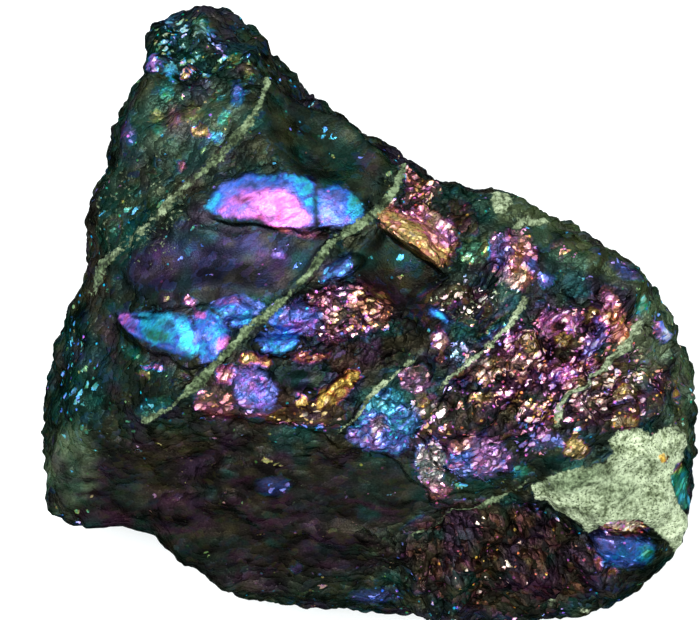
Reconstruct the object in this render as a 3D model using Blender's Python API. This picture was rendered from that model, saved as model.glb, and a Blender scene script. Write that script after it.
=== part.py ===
"""A specimen of peacock ore: one broken lump, lying on its back on a small flat facet.

The body is an icosphere whose points are moved out to broad fracture facets, then fitted to the
stone's outline as seen from above (+Z). Named forms follow on the upper side: raised veins, lenses
and shards of bright ore, pits and hollows, and the ledges under them. Last come the small blocky
grains of the broken ore, and the cut of the rest facet.

The outline and the forms are drawn on a sheet seen from above, with u to the right and v downwards.
One sheet unit is WIDTH / SHEET_WIDTH.
"""

import itertools
import math

import bmesh
import bpy
import numpy as np

NAME = "peacock_ore"

# Driving dimensions, in metres.
WIDTH = 0.0345
CORE_HEIGHT = 0.0095  # of the middle of the lump above the rest facet
FACET_DEPTH = 0.0009  # cut off the lump's lowest point to make the rest facet

MM = 0.001
SHEET_WIDTH = 657.0
UNIT = WIDTH / SHEET_WIDTH
CORE = (370.0, 330.0)  # the lump's middle on the sheet

SPHERE_LEVELS = 7
TRIANGLES = 9400
FACET_SHARPNESS = 24.0  # the higher, the sharper the edges between the broad facets
LUMP_SPAN_DEG = 5.0  # lumps of the outline narrower than twice this stay in the rim's band
RIM_HEIGHT = -0.0005  # of the rim above the lump's middle
RIM_WANDER = 0.003
RIM_BAND = 0.0028  # half the height of the rim's band
SHORTFALL_SMOOTHING = 3  # passes over the outline's shortfall, which is measured at each degree

ORE_COLOUR = (0.075, 0.07, 0.085, 1.0)
ORE_METALLIC = 0.85
ORE_ROUGHNESS = 0.38

# The outline from above, clockwise from the left of the top lobe.
OUTLINE = [
    (144, 51), (150, 28), (165, 16), (196, 9), (205, 5), (223, 9), (237, 11), (252, 25),
    (266, 31), (271, 41), (277, 56), (297, 76), (312, 94), (333, 109), (363, 134), (386, 143),
    (406, 158), (439, 183), (457, 183), (475, 192), (491, 189), (506, 192), (529, 205),
    (551, 219), (573, 223), (587, 237), (607, 248), (645, 277), (660, 292), (667, 308),
    (676, 317), (685, 348), (694, 361), (698, 422), (698, 444), (691, 504), (688, 530),
    (683, 548), (671, 564), (653, 582), (628, 604), (589, 619), (540, 625), (470, 627),
    (401, 618), (340, 612), (279, 607), (228, 597), (208, 580), (199, 571), (185, 568),
    (165, 549), (156, 538), (125, 528), (85, 532), (50, 518), (45, 504), (46, 484), (41, 435),
    (45, 399), (52, 357), (60, 332), (77, 295), (85, 281), (87, 225), (94, 194), (107, 170),
    (116, 120), (134, 91), (143, 78), (143, 65),
]

# Broad fracture facets: a point on the sheet and its height in mm, the way the facet faces seen
# from above (degrees from +X), and how far it leans from straight up.
FACETS = {
    "bright face": (400, 300, 17.8, 70, 4),
    "upper left": (185, 185, 15.9, 140, 22),
    "top lobe": (205, 45, 12.5, 100, 50),
    "upper right rim": (560, 235, 14.3, 62, 40),
    "right edge": (672, 400, 12.5, 5, 50),
    "lower right": (622, 500, 14.6, -45, 33),
    "lower face": (330, 520, 13.6, -88, 38),
    "lower right foot": (520, 565, 11.8, -72, 54),
    "lower left": (120, 480, 12.6, -135, 44),
    "left band": (80, 370, 13.0, 175, 48),
    "left side": (52, 400, 7.5, 184, 84),
    "upper left side": (108, 170, 7.5, 163, 92),
    "lobe side": (200, 6, 8.0, 96, 84),
    "flank side": (350, 125, 8.5, 54, 93),
    "upper right side": (590, 232, 8.0, 60, 82),
    "right side": (696, 430, 7.5, 0, 97),
    "lower right side": (660, 580, 7.0, -44, 88),
    "foot side": (430, 620, 6.5, -88, 82),
    "lower left side": (75, 530, 7.0, -128, 95),
    "base": (380, 330, -0.4, 0, 180),
    "back left": (90, 360, 4.0, 190, 146),
    "back top": (230, 90, 3.6, 112, 150),
    "back upper right": (560, 230, 4.4, 50, 138),
    "back right": (650, 420, 3.8, -12, 150),
    "back foot": (400, 590, 3.4, -95, 143),
    "back lower left": (130, 500, 4.6, -150, 140),
}

# Veins that stand up from the surface: half their width in sheet units, height in mm, route.
VEINS = {
    "upper": (7.0, 0.34, [(284, 57), (276, 85), (262, 110), (246, 132), (230, 152), (208, 172),
                          (186, 192), (168, 212)]),
    "upper end": (8.0, 0.18, [(168, 212), (150, 232), (128, 250), (112, 268), (98, 296)]),
    "long": (7.0, 0.42, [(408, 158), (399, 182), (378, 212), (336, 241), (307, 278), (280, 307),
                         (250, 334), (232, 352), (206, 379), (179, 403), (148, 424)]),
    "short": (4.6, 0.32, [(520, 302), (508, 326), (480, 354), (440, 388)]),
    "little": (4.8, 0.28, [(408, 365), (375, 395), (352, 422), (338, 430)]),
    "right": (5.2, 0.36, [(648, 316), (630, 340), (606, 365), (572, 392), (562, 403), (556, 428)]),
    "low": (4.0, 0.24, [(524, 484), (500, 497), (480, 504), (455, 516), (437, 526), (412, 531)]),
}

# Lumps and pits: centre, half length, half width in sheet units, turn in degrees from +X, height
# in mm (negative for a pit), and how much of the half width its flank takes.
FORMS = {
    "lens": (268, 206, 64, 27, 4, 0.28, 0.80),
    "lens end": (341, 212, 26, 21, 10, 0.22, 0.80),
    "hollow under the lens": (222, 266, 98, 30, 4, -0.55, 0.90),
    "upper hollow": (325, 152, 66, 36, -38, -1.10, 0.80),
    "deep pit": (392, 282, 56, 36, -38, -0.70, 0.95),
    "pit shelf": (345, 268, 20, 14, 20, 0.50, 0.60),
    "flame": (412, 247, 36, 13, -38, 0.70, 0.60),
    "pink slope": (424, 200, 30, 22, 50, 0.45, 0.80),
    "shard": (164, 335, 46, 21, -9, 0.40, 0.60),
    "shard end": (218, 341, 18, 26, 20, 0.35, 0.70),
    "blue ledge": (240, 317, 30, 12, 8, 0.45, 0.60),
    "violet ledge": (302, 318, 26, 14, 20, 0.40, 0.70),
    "blue bar": (278, 348, 28, 12, 12, 0.50, 0.60),
    "copper flakes": (348, 311, 44, 24, 0, 0.45, 0.60),
    "bowl": (258, 391, 26, 23, 0, 0.35, 0.80),
    "dark hollow": (300, 379, 32, 18, 8, -0.50, 0.95),
    "gold beads": (330, 391, 40, 8, 24, 0.55, 0.70),
    "blue patch": (384, 424, 38, 34, 35, 0.45, 0.70),
    "rosette": (415, 379, 17, 14, 0, 0.50, 0.70),
    "almond": (481, 457, 36, 21, -6, 0.45, 0.60),
    "oval": (514, 261, 34, 24, 78, 0.40, 0.70),
    "crease by the oval": (478, 285, 30, 16, 50, -0.70, 0.90),
    "eye": (557, 326, 22, 15, 10, 0.45, 0.60),
    "violet band": (594, 344, 34, 9, 50, 0.55, 0.60),
    "pink flake": (524, 350, 32, 14, 38, 0.55, 0.50),
    "orange strip": (616, 321, 30, 10, 62, 0.55, 0.60),
    "crumbled hollow": (600, 400, 48, 24, 30, -0.60, 0.90),
    "rim notch": (681, 427, 14, 9, 0, -0.90, 0.80),
    "right glint": (665, 328, 18, 8, -70, 0.40, 0.70),
    "matrix": (612, 486, 76, 36, 12, 0.70, 0.30),
    "matrix top": (652, 447, 30, 20, 30, 0.50, 0.60),
    "foot oval": (624, 549, 33, 18, 0, 0.60, 0.60),
    "lobe knob": (212, 42, 52, 26, -12, 0.60, 0.80),
    "lobe neck": (190, 112, 72, 16, 20, -0.55, 0.90),
    "left shoulder": (92, 350, 60, 12, 75, 0.40, 0.90),
    "shade hollow": (215, 455, 88, 22, 4, -0.80, 0.90),
    "lower ledge": (200, 505, 90, 14, -6, 0.60, 0.80),
    "dark ledge": (370, 545, 70, 18, -10, 0.60, 0.70),
    "foot step": (500, 575, 60, 16, 14, 0.55, 0.70),
}

# Ledges: the ground drops along the route, on its right-hand side seen from above, and comes back
# up over the reach. Drop in mm, reach in sheet units, route.
LEDGES = {
    "under the lens": (0.35, 34, [(202, 216), (240, 224), (280, 238), (325, 234), (364, 226)]),
    "over the shard": (0.35, 26, [(236, 309), (200, 314), (160, 316), (116, 309)]),
    "under the shard": (0.45, 26, [(118, 322), (150, 352), (200, 368), (240, 364)]),
    "under the flame": (0.80, 40, [(374, 221), (400, 247), (424, 262), (447, 279)]),
    "main ridge": (0.50, 70, [(150, 428), (215, 414), (290, 418), (340, 442), (400, 460),
                              (432, 500), (512, 482)]),
    "over the vein": (0.35, 30, [(452, 480), (410, 430), (440, 395), (500, 352)]),
    "matrix foot": (0.70, 30, [(540, 506), (580, 524), (640, 526), (684, 548)]),
}

# How much of the blocky grain each stretch of the surface takes: centre, half length, half width,
# turn, share. Elsewhere it takes PLAIN_GRAIN.
PLAIN_GRAIN = 0.55
GRAINY = {
    "lobe": (210, 50, 90, 55, -10, 1.1),
    "copper field": (550, 370, 120, 75, 20, 1.2),
    "upper centre": (430, 210, 60, 55, -30, 1.0),
    "flakes": (350, 320, 70, 50, 0, 0.9),
    "lower right": (500, 560, 130, 70, 10, 1.3),
    "right edge": (672, 370, 40, 90, 0, 1.0),
    "lens": (280, 205, 90, 32, 6, 0.15),
    "dark smooth": (230, 268, 110, 40, 4, 0.15),
    "upper hollow": (325, 150, 80, 45, -38, 0.25),
    "pit": (396, 277, 54, 34, -38, 0.12),
    "dark hollow": (298, 379, 22, 12, 0, 0.12),
    "matrix teal": (680, 486, 11, 24, 0, 0.12),
    "blue patch": (384, 424, 34, 32, 0, 0.8),
    "dark ridge": (380, 490, 50, 34, 0, 0.25),
    "matrix": (612, 486, 80, 42, 12, 0.45),
    "shard": (164, 336, 44, 20, -20, 0.12),
    "shard end": (219, 337, 14, 26, 8, 0.35),
    "bowl": (260, 391, 22, 19, 0, 0.35),
    "foot oval": (624, 549, 32, 18, 0, 0.35),
    "lower face": (230, 505, 190, 62, -4, 0.35),
}

WANDER = [(46.0, 9.0), (17.0, 4.0)]  # size and sway of the wandering, in sheet units
VEIN_SWAY = 0.35  # share of the wandering that the veins take
LEDGE_TAPER = 24.0  # sheet units from its end over which a ledge fades out

# The blocky grains: size and height in mm.
GRAINS = {"blocks": (3.8, 1.5), "lumps": (1.6, 0.85)}
BACK_STEPS = (8.0, 1.8)
SIDE_SINK = 0.2  # share of the grain's height that the steep sides sink by, under the outline
FRAME_COUNT = 16  # different ways that a grain may be turned
FLAT_SLACK = 0.0001  # points this near the cut lie on the rest facet


def smoothstep(low, high, value):
    t = np.clip((value - low) / (high - low), 0.0, 1.0)
    return t * t * (3.0 - 2.0 * t)


def hashed(cells, seed):
    """A repeatable number from 0 to 1 for each row of whole numbers."""
    n = cells.astype(np.int64)
    h = n[..., 0] * 374761393 + n[..., 1] * 668265263 + n[..., 2] * 2147483647 + seed * 974634777
    h = (h ^ (h >> 13)) * 1274126177
    h = h ^ (h >> 16)
    return (h & 0xFFFFFF) / float(0xFFFFFF)


def turned_frames():
    """FRAME_COUNT sets of three square axes, each turned its own way."""
    random = np.random.default_rng(11)
    return np.array([np.linalg.qr(random.normal(size=(3, 3)))[0] for _ in range(FRAME_COUNT)])


def grains(points, size, seed):
    """The upper surface of a heap of cubes turned every way, one for each jittered cell.

    About 1 on a corner that stands up and about 0 in a deep crease.
    """
    frames = turned_frames()
    place = points / size
    base = np.floor(place)
    top = np.full(len(points), -9.0)
    for step in itertools.product((-1, 0, 1), repeat=3):
        cell = base + step
        jitter = np.stack([hashed(cell, seed + axis) for axis in range(3)], axis=-1)
        turn = (hashed(cell, seed + 3) * (FRAME_COUNT - 0.01)).astype(int)
        away = np.einsum("nij,nj->ni", frames[turn], place - cell - jitter)
        top = np.maximum(top, 0.5 * hashed(cell, seed + 4) - np.abs(away).max(axis=-1))
    return top + 0.6


def sheet_to_world(u, v):
    """X and Y in metres, from the lump's middle."""
    return (u - CORE[0]) * UNIT, (CORE[1] - v) * UNIT


def facet_planes():
    """Each facet's outward normal and its distance from the lump's middle."""
    normals, distances = [], []
    for u, v, height, facing, lean in FACETS.values():
        x, y = sheet_to_world(u, v)
        facing, lean = math.radians(facing), math.radians(lean)
        normal = np.array([math.sin(lean) * math.cos(facing), math.sin(lean) * math.sin(facing),
                           math.cos(lean)])
        normals.append(normal)
        distances.append(normal @ np.array([x, y, height * MM - CORE_HEIGHT]))
    return np.array(normals), np.array(distances)


def facet_reach(directions):
    """How far the broad facets lie from the middle along each direction, edges slightly round."""
    normals, distances = facet_planes()
    nearness = np.maximum(directions @ normals.T, 0.0) / distances
    return (nearness ** FACET_SHARPNESS).sum(axis=-1) ** (-1.0 / FACET_SHARPNESS)


def outline_reach(angles):
    """How far the outline lies from the middle at each angle seen from above."""
    points = np.array([sheet_to_world(u, v) for u, v in OUTLINE])
    turn = np.arctan2(points[:, 1], points[:, 0])
    reach = np.hypot(points[:, 0], points[:, 1])
    order = np.argsort(turn)
    return np.interp(angles, turn[order], reach[order], period=2.0 * math.pi)


def waist_reach(angles):
    """The outline with its narrow lumps taken off, which the sides follow above and below the rim."""
    grid = np.radians(np.arange(-180.0, 181.0))
    steps = np.radians(np.arange(-LUMP_SPAN_DEG, LUMP_SPAN_DEG + 1.0))
    lowest = np.min([outline_reach(grid + step) for step in steps], axis=0)
    rows = [np.interp(grid + step, grid, lowest, period=2.0 * math.pi) for step in steps]
    return np.interp(angles, grid, np.mean(rows, axis=0), period=2.0 * math.pi)


def facet_outline(angles):
    """How far the broad facets reach at each angle seen from above."""
    grid = np.linspace(-math.pi, math.pi, 361)
    rise = np.radians(np.linspace(-75.0, 75.0, 61))
    turn, lift = np.meshgrid(grid, rise)
    directions = np.stack([np.cos(lift) * np.cos(turn), np.cos(lift) * np.sin(turn),
                           np.sin(lift)], axis=-1)
    reach = (facet_reach(directions) * np.cos(lift)).max(axis=0)
    return np.interp(angles, grid, reach, period=2.0 * math.pi)


def fit_to_outline(points):
    """Moves the points in or out level with the sheet, so that the rim follows the outline.

    The outline's narrow lumps stand out in a band along the rim, which wanders up and down.
    """
    angles = np.arctan2(points[:, 1], points[:, 0])
    facets = facet_outline(angles)
    waist = waist_reach(angles)
    share = np.clip(np.hypot(points[:, 0], points[:, 1]) / facets, 0.0, 1.0)
    rim = np.stack([np.cos(angles), np.sin(angles), np.zeros_like(angles)], axis=-1)
    height = points[:, 2] - RIM_HEIGHT - RIM_WANDER * noise(rim, 0.35, 71)
    band = share ** 6 * np.exp(-(height / RIM_BAND) ** 2)
    factor = 1.0 + (waist / facets - 1.0) * smoothstep(0.0, 0.9, share)
    factor += (outline_reach(angles) - waist) / facets * band
    return points * np.stack([factor, factor, np.ones_like(factor)], axis=-1)


def hold_outline(points):
    """Takes the finished surface back to the outline where its grains fall short of it."""
    angles = np.arctan2(points[:, 1], points[:, 0])
    share = np.hypot(points[:, 0], points[:, 1]) / outline_reach(angles)
    centres = np.radians(np.arange(-180.0, 180.0))
    fullest = np.zeros(len(centres))
    np.maximum.at(fullest, (np.round(np.degrees(angles)).astype(int) + 180) % 360, share)
    for _ in range(SHORTFALL_SMOOTHING):
        fullest = (np.roll(fullest, 1) + 2.0 * fullest + np.roll(fullest, -1)) / 4.0
    fullest = np.interp(angles, centres, fullest, period=2.0 * math.pi)
    factor = 1.0 + (1.0 / fullest - 1.0) * np.clip(share / fullest, 0.0, 1.0) ** 4
    return points * np.stack([factor, factor, np.ones_like(factor)], axis=-1)


def on_sheet(points):
    return points[:, 0] / UNIT + CORE[0], CORE[1] - points[:, 1] / UNIT


def along_route(u, v, route):
    """Distance from a route, which side of it, and distance along it from its nearer end.

    All in sheet units. The side is 1 on the right of the route's way seen from above, or -1.
    """
    nearest = np.full(len(u), 1e9)
    side = np.zeros(len(u))
    passed = np.zeros(len(u))
    start = 0.0
    for (u0, v0), (u1, v1) in zip(route, route[1:]):
        length = math.hypot(u1 - u0, v1 - v0)
        du, dv = (u1 - u0) / length, (v1 - v0) / length
        along = np.clip((u - u0) * du + (v - v0) * dv, 0.0, length)
        away = np.hypot(u - u0 - along * du, v - v0 - along * dv)
        across = (v - v0) * du - (u - u0) * dv
        closer = away < nearest
        nearest = np.where(closer, away, nearest)
        side = np.where(closer, np.sign(across), side)
        passed = np.where(closer, start + along, passed)
        start += length
    return nearest, side, np.minimum(passed, start - passed)


def in_oval(u, v, centre_u, centre_v, half_length, half_width, turn):
    """0 in the middle of a turned oval, 1 on its edge."""
    turn = math.radians(turn)
    along = (u - centre_u) * math.cos(turn) - (v - centre_v) * math.sin(turn)
    across = (u - centre_u) * math.sin(turn) + (v - centre_v) * math.cos(turn)
    return np.hypot(along / half_length, across / half_width)


def noise(points, size, seed):
    """Smooth noise from -1 to 1, with hills about one size across."""
    place = points / size
    base = np.floor(place)
    part = place - base
    part = part * part * (3.0 - 2.0 * part)
    total = np.zeros(len(points))
    for corner in itertools.product((0, 1), repeat=3):
        weight = np.where(corner, part, 1.0 - part).prod(axis=-1)
        total += weight * hashed(base + corner, seed)
    return 2.0 * total - 1.0


def wandered(u, v):
    """The sheet place with broad and narrow wandering, so that no form has a drawn edge."""
    place = np.stack([u, v, np.zeros_like(u)], axis=-1)
    for size, sway in WANDER:
        u = u + sway * noise(place, size, 41)
        v = v + sway * noise(place, size, 57)
    return u, v


def relief(u, v):
    """The named forms of the upper side, in metres along +Z."""
    height = np.zeros(len(u))
    wide_u, wide_v = wandered(u, v)
    for centre_u, centre_v, half_length, half_width, turn, rise, flank in FORMS.values():
        oval = in_oval(wide_u, wide_v, centre_u, centre_v, half_length, half_width, turn)
        height += rise * (1.0 - smoothstep(1.0 - flank, 1.1, oval))
    for drop, reach, route in LEDGES.values():
        away, side, inward = along_route(wide_u, wide_v, route)
        fade = (1.0 - smoothstep(0.0, reach, away)) * smoothstep(-2.0, 2.0, side * away)
        height -= drop * fade * smoothstep(0.0, LEDGE_TAPER, inward)
    vein_u, vein_v = u + VEIN_SWAY * (wide_u - u), v + VEIN_SWAY * (wide_v - v)
    for half_width, rise, route in VEINS.values():
        away, _, _ = along_route(vein_u, vein_v, route)
        height += rise * (1.0 - smoothstep(0.35 * half_width, 1.3 * half_width, away))
    return height * MM


def grain_share(u, v):
    """How much of the blocky grain the upper side takes at each place."""
    share = np.full(len(u), PLAIN_GRAIN)
    for centre_u, centre_v, half_length, half_width, turn, amount in GRAINY.values():
        inside = 1.0 - smoothstep(0.6, 1.15, in_oval(u, v, centre_u, centre_v, half_length,
                                                     half_width, turn))
        share += (amount - share) * inside
    return share


def facet_normals(points):
    """The outward direction of the broad facets at each point."""
    normals, distances = facet_planes()
    unit = points / np.linalg.norm(points, axis=1, keepdims=True)
    nearness = np.maximum(unit @ normals.T, 0.0) / distances
    blended = (nearness ** FACET_SHARPNESS) @ normals
    return blended / np.linalg.norm(blended, axis=1, keepdims=True)


def shape(directions):
    """Moves each point of the sphere to its place on the lump, from the lump's middle."""
    body = directions * facet_reach(directions)[:, None]
    normals = facet_normals(body)
    upper = smoothstep(0.05, 0.35, normals[:, 2])
    points = fit_to_outline(body)
    u, v = on_sheet(points)
    share = grain_share(u, v) * upper + 0.8 * (1.0 - upper)
    seed = 100
    steep = 1.0 - smoothstep(0.2, 0.6, np.abs(normals[:, 2]))
    for size, rise in GRAINS.values():
        bump = grains(points, size * MM, seed) - 0.5 - SIDE_SINK * steep
        points = points + normals * (bump * rise * MM * share)[:, None]
        seed += 10
    size, rise = BACK_STEPS
    bump = grains(points, size * MM, 300) - 0.5
    lower = smoothstep(0.2, 0.6, -normals[:, 2]) - 0.7 * smoothstep(0.9, 0.98, -normals[:, 2])
    points = points + normals * (bump * rise * MM * lower)[:, None]
    points[:, 2] += relief(u, v) * upper
    return hold_outline(points)


def coordinates(mesh):
    flat = np.empty(len(mesh.vertices) * 3)
    mesh.vertices.foreach_get("co", flat)
    return flat.reshape(-1, 3)


def make_lump():
    """A sphere's points moved to the lump's surface, thinned to its triangles."""
    bpy.ops.mesh.primitive_ico_sphere_add(subdivisions=SPHERE_LEVELS, radius=1.0)
    lump = bpy.context.object
    lump.name = NAME
    lump.data.name = NAME
    points = shape(coordinates(lump.data))
    points[:, 2] += CORE_HEIGHT
    lump.data.vertices.foreach_set("co", points.ravel())
    lump.data.update()
    thin = lump.modifiers.new("thin", "DECIMATE")
    thin.ratio = TRIANGLES / len(lump.data.polygons)
    return lump


def cut_rest_facet(lump):
    """Applies the thinning, and cuts the underside flat just above its lowest point."""
    evaluated = lump.evaluated_get(bpy.context.evaluated_depsgraph_get())
    thinned = bpy.data.meshes.new_from_object(evaluated)
    lump.modifiers.clear()
    lump.data = thinned
    solid = bmesh.new()
    solid.from_mesh(thinned)
    floor = min(vert.co.z for vert in solid.verts) + FACET_DEPTH
    geometry = solid.verts[:] + solid.edges[:] + solid.faces[:]
    bmesh.ops.bisect_plane(solid, geom=geometry, plane_co=(0, 0, floor), plane_no=(0, 0, -1),
                           clear_outer=True)
    rim = [edge for edge in solid.edges if edge.is_boundary]
    bmesh.ops.triangle_fill(solid, edges=rim, use_beauty=True, normal=(0, 0, -1))
    bmesh.ops.remove_doubles(solid, verts=solid.verts, dist=0.00001)
    bmesh.ops.triangulate(solid, faces=[face for face in solid.faces if len(face.verts) > 3])
    bmesh.ops.recalc_face_normals(solid, faces=solid.faces)
    solid.to_mesh(thinned)
    solid.free()


def stand_on_origin(lump):
    """Puts the middle of the lump's box over the origin, and its rest facet on Z = 0."""
    points = coordinates(lump.data)
    low, high = points.min(axis=0), points.max(axis=0)
    points -= [(low[0] + high[0]) / 2.0, (low[1] + high[1]) / 2.0, low[2]]
    points[:, 2] = np.where(points[:, 2] < FLAT_SLACK, 0.0, points[:, 2])
    lump.data.vertices.foreach_set("co", points.ravel())
    lump.data.update()


def ore_material():
    material = bpy.data.materials.new("tarnished ore")
    material.use_nodes = True
    shader = material.node_tree.nodes["Principled BSDF"]
    shader.inputs["Base Color"].default_value = ORE_COLOUR
    shader.inputs["Metallic"].default_value = ORE_METALLIC
    shader.inputs["Roughness"].default_value = ORE_ROUGHNESS
    return material


def main():
    for existing in list(bpy.data.objects):
        bpy.data.objects.remove(existing, do_unlink=True)
    collection = bpy.data.collections.new("Peacock ore specimen")
    bpy.context.scene.collection.children.link(collection)
    lump = make_lump()
    cut_rest_facet(lump)
    stand_on_origin(lump)
    lump.data.materials.clear()
    lump.data.materials.append(ore_material())
    lump.data.shade_smooth()
    lump.data.set_sharp_from_angle(angle=math.radians(35.0))
    for owner in list(lump.users_collection):
        owner.objects.unlink(lump)
    collection.objects.link(lump)


main()
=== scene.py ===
"""The looks of the peacock ore specimen: its broken, tarnished surface, a pale floor, soft light.

The surface follows the same facets, outline and named forms as the CAD solid, on many more
points, with finer grains. Its tarnish is laid out in named patches. A patch has a place on the
film's scale, which runs through the colours that a thickening film takes: gold, copper, pink,
violet, blue, cyan, teal and green. Where two patches meet, the film runs through the colours
between them, as it does on the real ore.

Places are given on a sheet seen from above, with u to the right and v downwards, in the pixels of
the photograph's 700 x 620 frame. One of them is UNIT metres. An oval in the tables is its centre's
u and v, half its length, half its width, and its turn in degrees from +X.
"""

import itertools
import math

import bmesh
import bpy
import numpy as np
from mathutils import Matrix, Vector


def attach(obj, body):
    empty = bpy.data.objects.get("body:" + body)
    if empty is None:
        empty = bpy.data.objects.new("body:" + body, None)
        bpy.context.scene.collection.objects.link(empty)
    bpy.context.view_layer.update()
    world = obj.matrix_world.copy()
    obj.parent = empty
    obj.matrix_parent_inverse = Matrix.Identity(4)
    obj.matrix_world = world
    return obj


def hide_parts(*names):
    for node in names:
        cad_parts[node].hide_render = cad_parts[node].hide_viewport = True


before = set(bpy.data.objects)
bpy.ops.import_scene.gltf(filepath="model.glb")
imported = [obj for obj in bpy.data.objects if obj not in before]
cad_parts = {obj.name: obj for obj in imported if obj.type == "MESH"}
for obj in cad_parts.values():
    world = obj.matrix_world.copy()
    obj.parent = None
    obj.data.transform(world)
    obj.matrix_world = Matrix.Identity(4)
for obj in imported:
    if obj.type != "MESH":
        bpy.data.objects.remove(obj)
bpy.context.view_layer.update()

NODE = "peacock_ore"

# The stone's driving dimensions, in metres, as in the CAD model.
WIDTH = 0.0345
CORE_HEIGHT = 0.0095
FACET_DEPTH = 0.0009
MM = 0.001
SHEET_WIDTH = 657.0
UNIT = WIDTH / SHEET_WIDTH
CORE = (370.0, 330.0)
SHEET_MIDDLE = (369.5, 316.0)  # the middle of the stone's box

# The mesh.
SPHERE_LEVELS = 8
CROWDING = 0.22  # how far the sphere's points are drawn to the upper side
MOST_TRIANGLES = 192000
SHARP_EDGE_DEG = 28.0

# How the body follows its facets and its outline; lengths in metres.
FACET_SHARPNESS = 24.0
LUMP_SPAN_DEG = 5.0
RIM_HEIGHT = -0.0005
RIM_WANDER = 0.003
RIM_BAND = 0.0028
SHORTFALL_SMOOTHING = 3

# The outline from above, clockwise from the left of the top lobe.
OUTLINE = [
    (144, 51), (150, 28), (165, 16), (196, 9), (205, 5), (223, 9), (237, 11), (252, 25),
    (266, 31), (271, 41), (277, 56), (297, 76), (312, 94), (333, 109), (363, 134), (386, 143),
    (406, 158), (439, 183), (457, 183), (475, 192), (491, 189), (506, 192), (529, 205),
    (551, 219), (573, 223), (587, 237), (607, 248), (645, 277), (660, 292), (667, 308),
    (676, 317), (685, 348), (694, 361), (698, 422), (698, 444), (691, 504), (688, 530),
    (683, 548), (671, 564), (653, 582), (628, 604), (589, 619), (540, 625), (470, 627),
    (401, 618), (340, 612), (279, 607), (228, 597), (208, 580), (199, 571), (185, 568),
    (165, 549), (156, 538), (125, 528), (85, 532), (50, 518), (45, 504), (46, 484), (41, 435),
    (45, 399), (52, 357), (60, 332), (77, 295), (85, 281), (87, 225), (94, 194), (107, 170),
    (116, 120), (134, 91), (143, 78), (143, 65),
]

# Broad fracture facets: a point on the sheet and its height in mm, the way the facet faces seen
# from above (degrees from +X), and how far it leans from straight up.
FACETS = {
    "bright face": (400, 300, 17.8, 70, 4),
    "upper left": (185, 185, 15.9, 140, 22),
    "top lobe": (205, 45, 12.5, 100, 50),
    "upper right rim": (560, 235, 14.3, 62, 40),
    "right edge": (672, 400, 12.5, 5, 50),
    "lower right": (622, 500, 14.6, -45, 33),
    "lower face": (330, 520, 13.6, -88, 38),
    "lower right foot": (520, 565, 11.8, -72, 54),
    "lower left": (120, 480, 12.6, -135, 44),
    "left band": (80, 370, 13.0, 175, 48),
    "left side": (52, 400, 7.5, 184, 84),
    "upper left side": (108, 170, 7.5, 163, 92),
    "lobe side": (200, 6, 8.0, 96, 84),
    "flank side": (350, 125, 8.5, 54, 93),
    "upper right side": (590, 232, 8.0, 60, 82),
    "right side": (696, 430, 7.5, 0, 97),
    "lower right side": (660, 580, 7.0, -44, 88),
    "foot side": (430, 620, 6.5, -88, 82),
    "lower left side": (75, 530, 7.0, -128, 95),
    "base": (380, 330, -0.4, 0, 180),
    "back left": (90, 360, 4.0, 190, 146),
    "back top": (230, 90, 3.6, 112, 150),
    "back upper right": (560, 230, 4.4, 50, 138),
    "back right": (650, 420, 3.8, -12, 150),
    "back foot": (400, 590, 3.4, -95, 143),
    "back lower left": (130, 500, 4.6, -150, 140),
}

# Veins that stand up from the surface: half their width in sheet units, height in mm, route.
VEINS = {
    "upper": (7.0, 0.34, [(284, 57), (276, 85), (262, 110), (246, 132), (230, 152), (208, 172),
                          (186, 192), (168, 212)]),
    "upper end": (8.0, 0.18, [(168, 212), (150, 232), (128, 250), (112, 268), (98, 296)]),
    "long": (7.0, 0.42, [(408, 158), (399, 182), (378, 212), (336, 241), (307, 278), (280, 307),
                         (250, 334), (232, 352), (206, 379), (179, 403), (148, 424)]),
    "short": (4.6, 0.32, [(520, 302), (508, 326), (480, 354), (440, 388)]),
    "little": (4.8, 0.28, [(408, 365), (375, 395), (352, 422), (338, 430)]),
    "right": (5.2, 0.36, [(648, 316), (630, 340), (606, 365), (572, 392), (562, 403), (556, 428)]),
    "low": (4.0, 0.24, [(524, 484), (500, 497), (480, 504), (455, 516), (437, 526), (412, 531)]),
}

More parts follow.
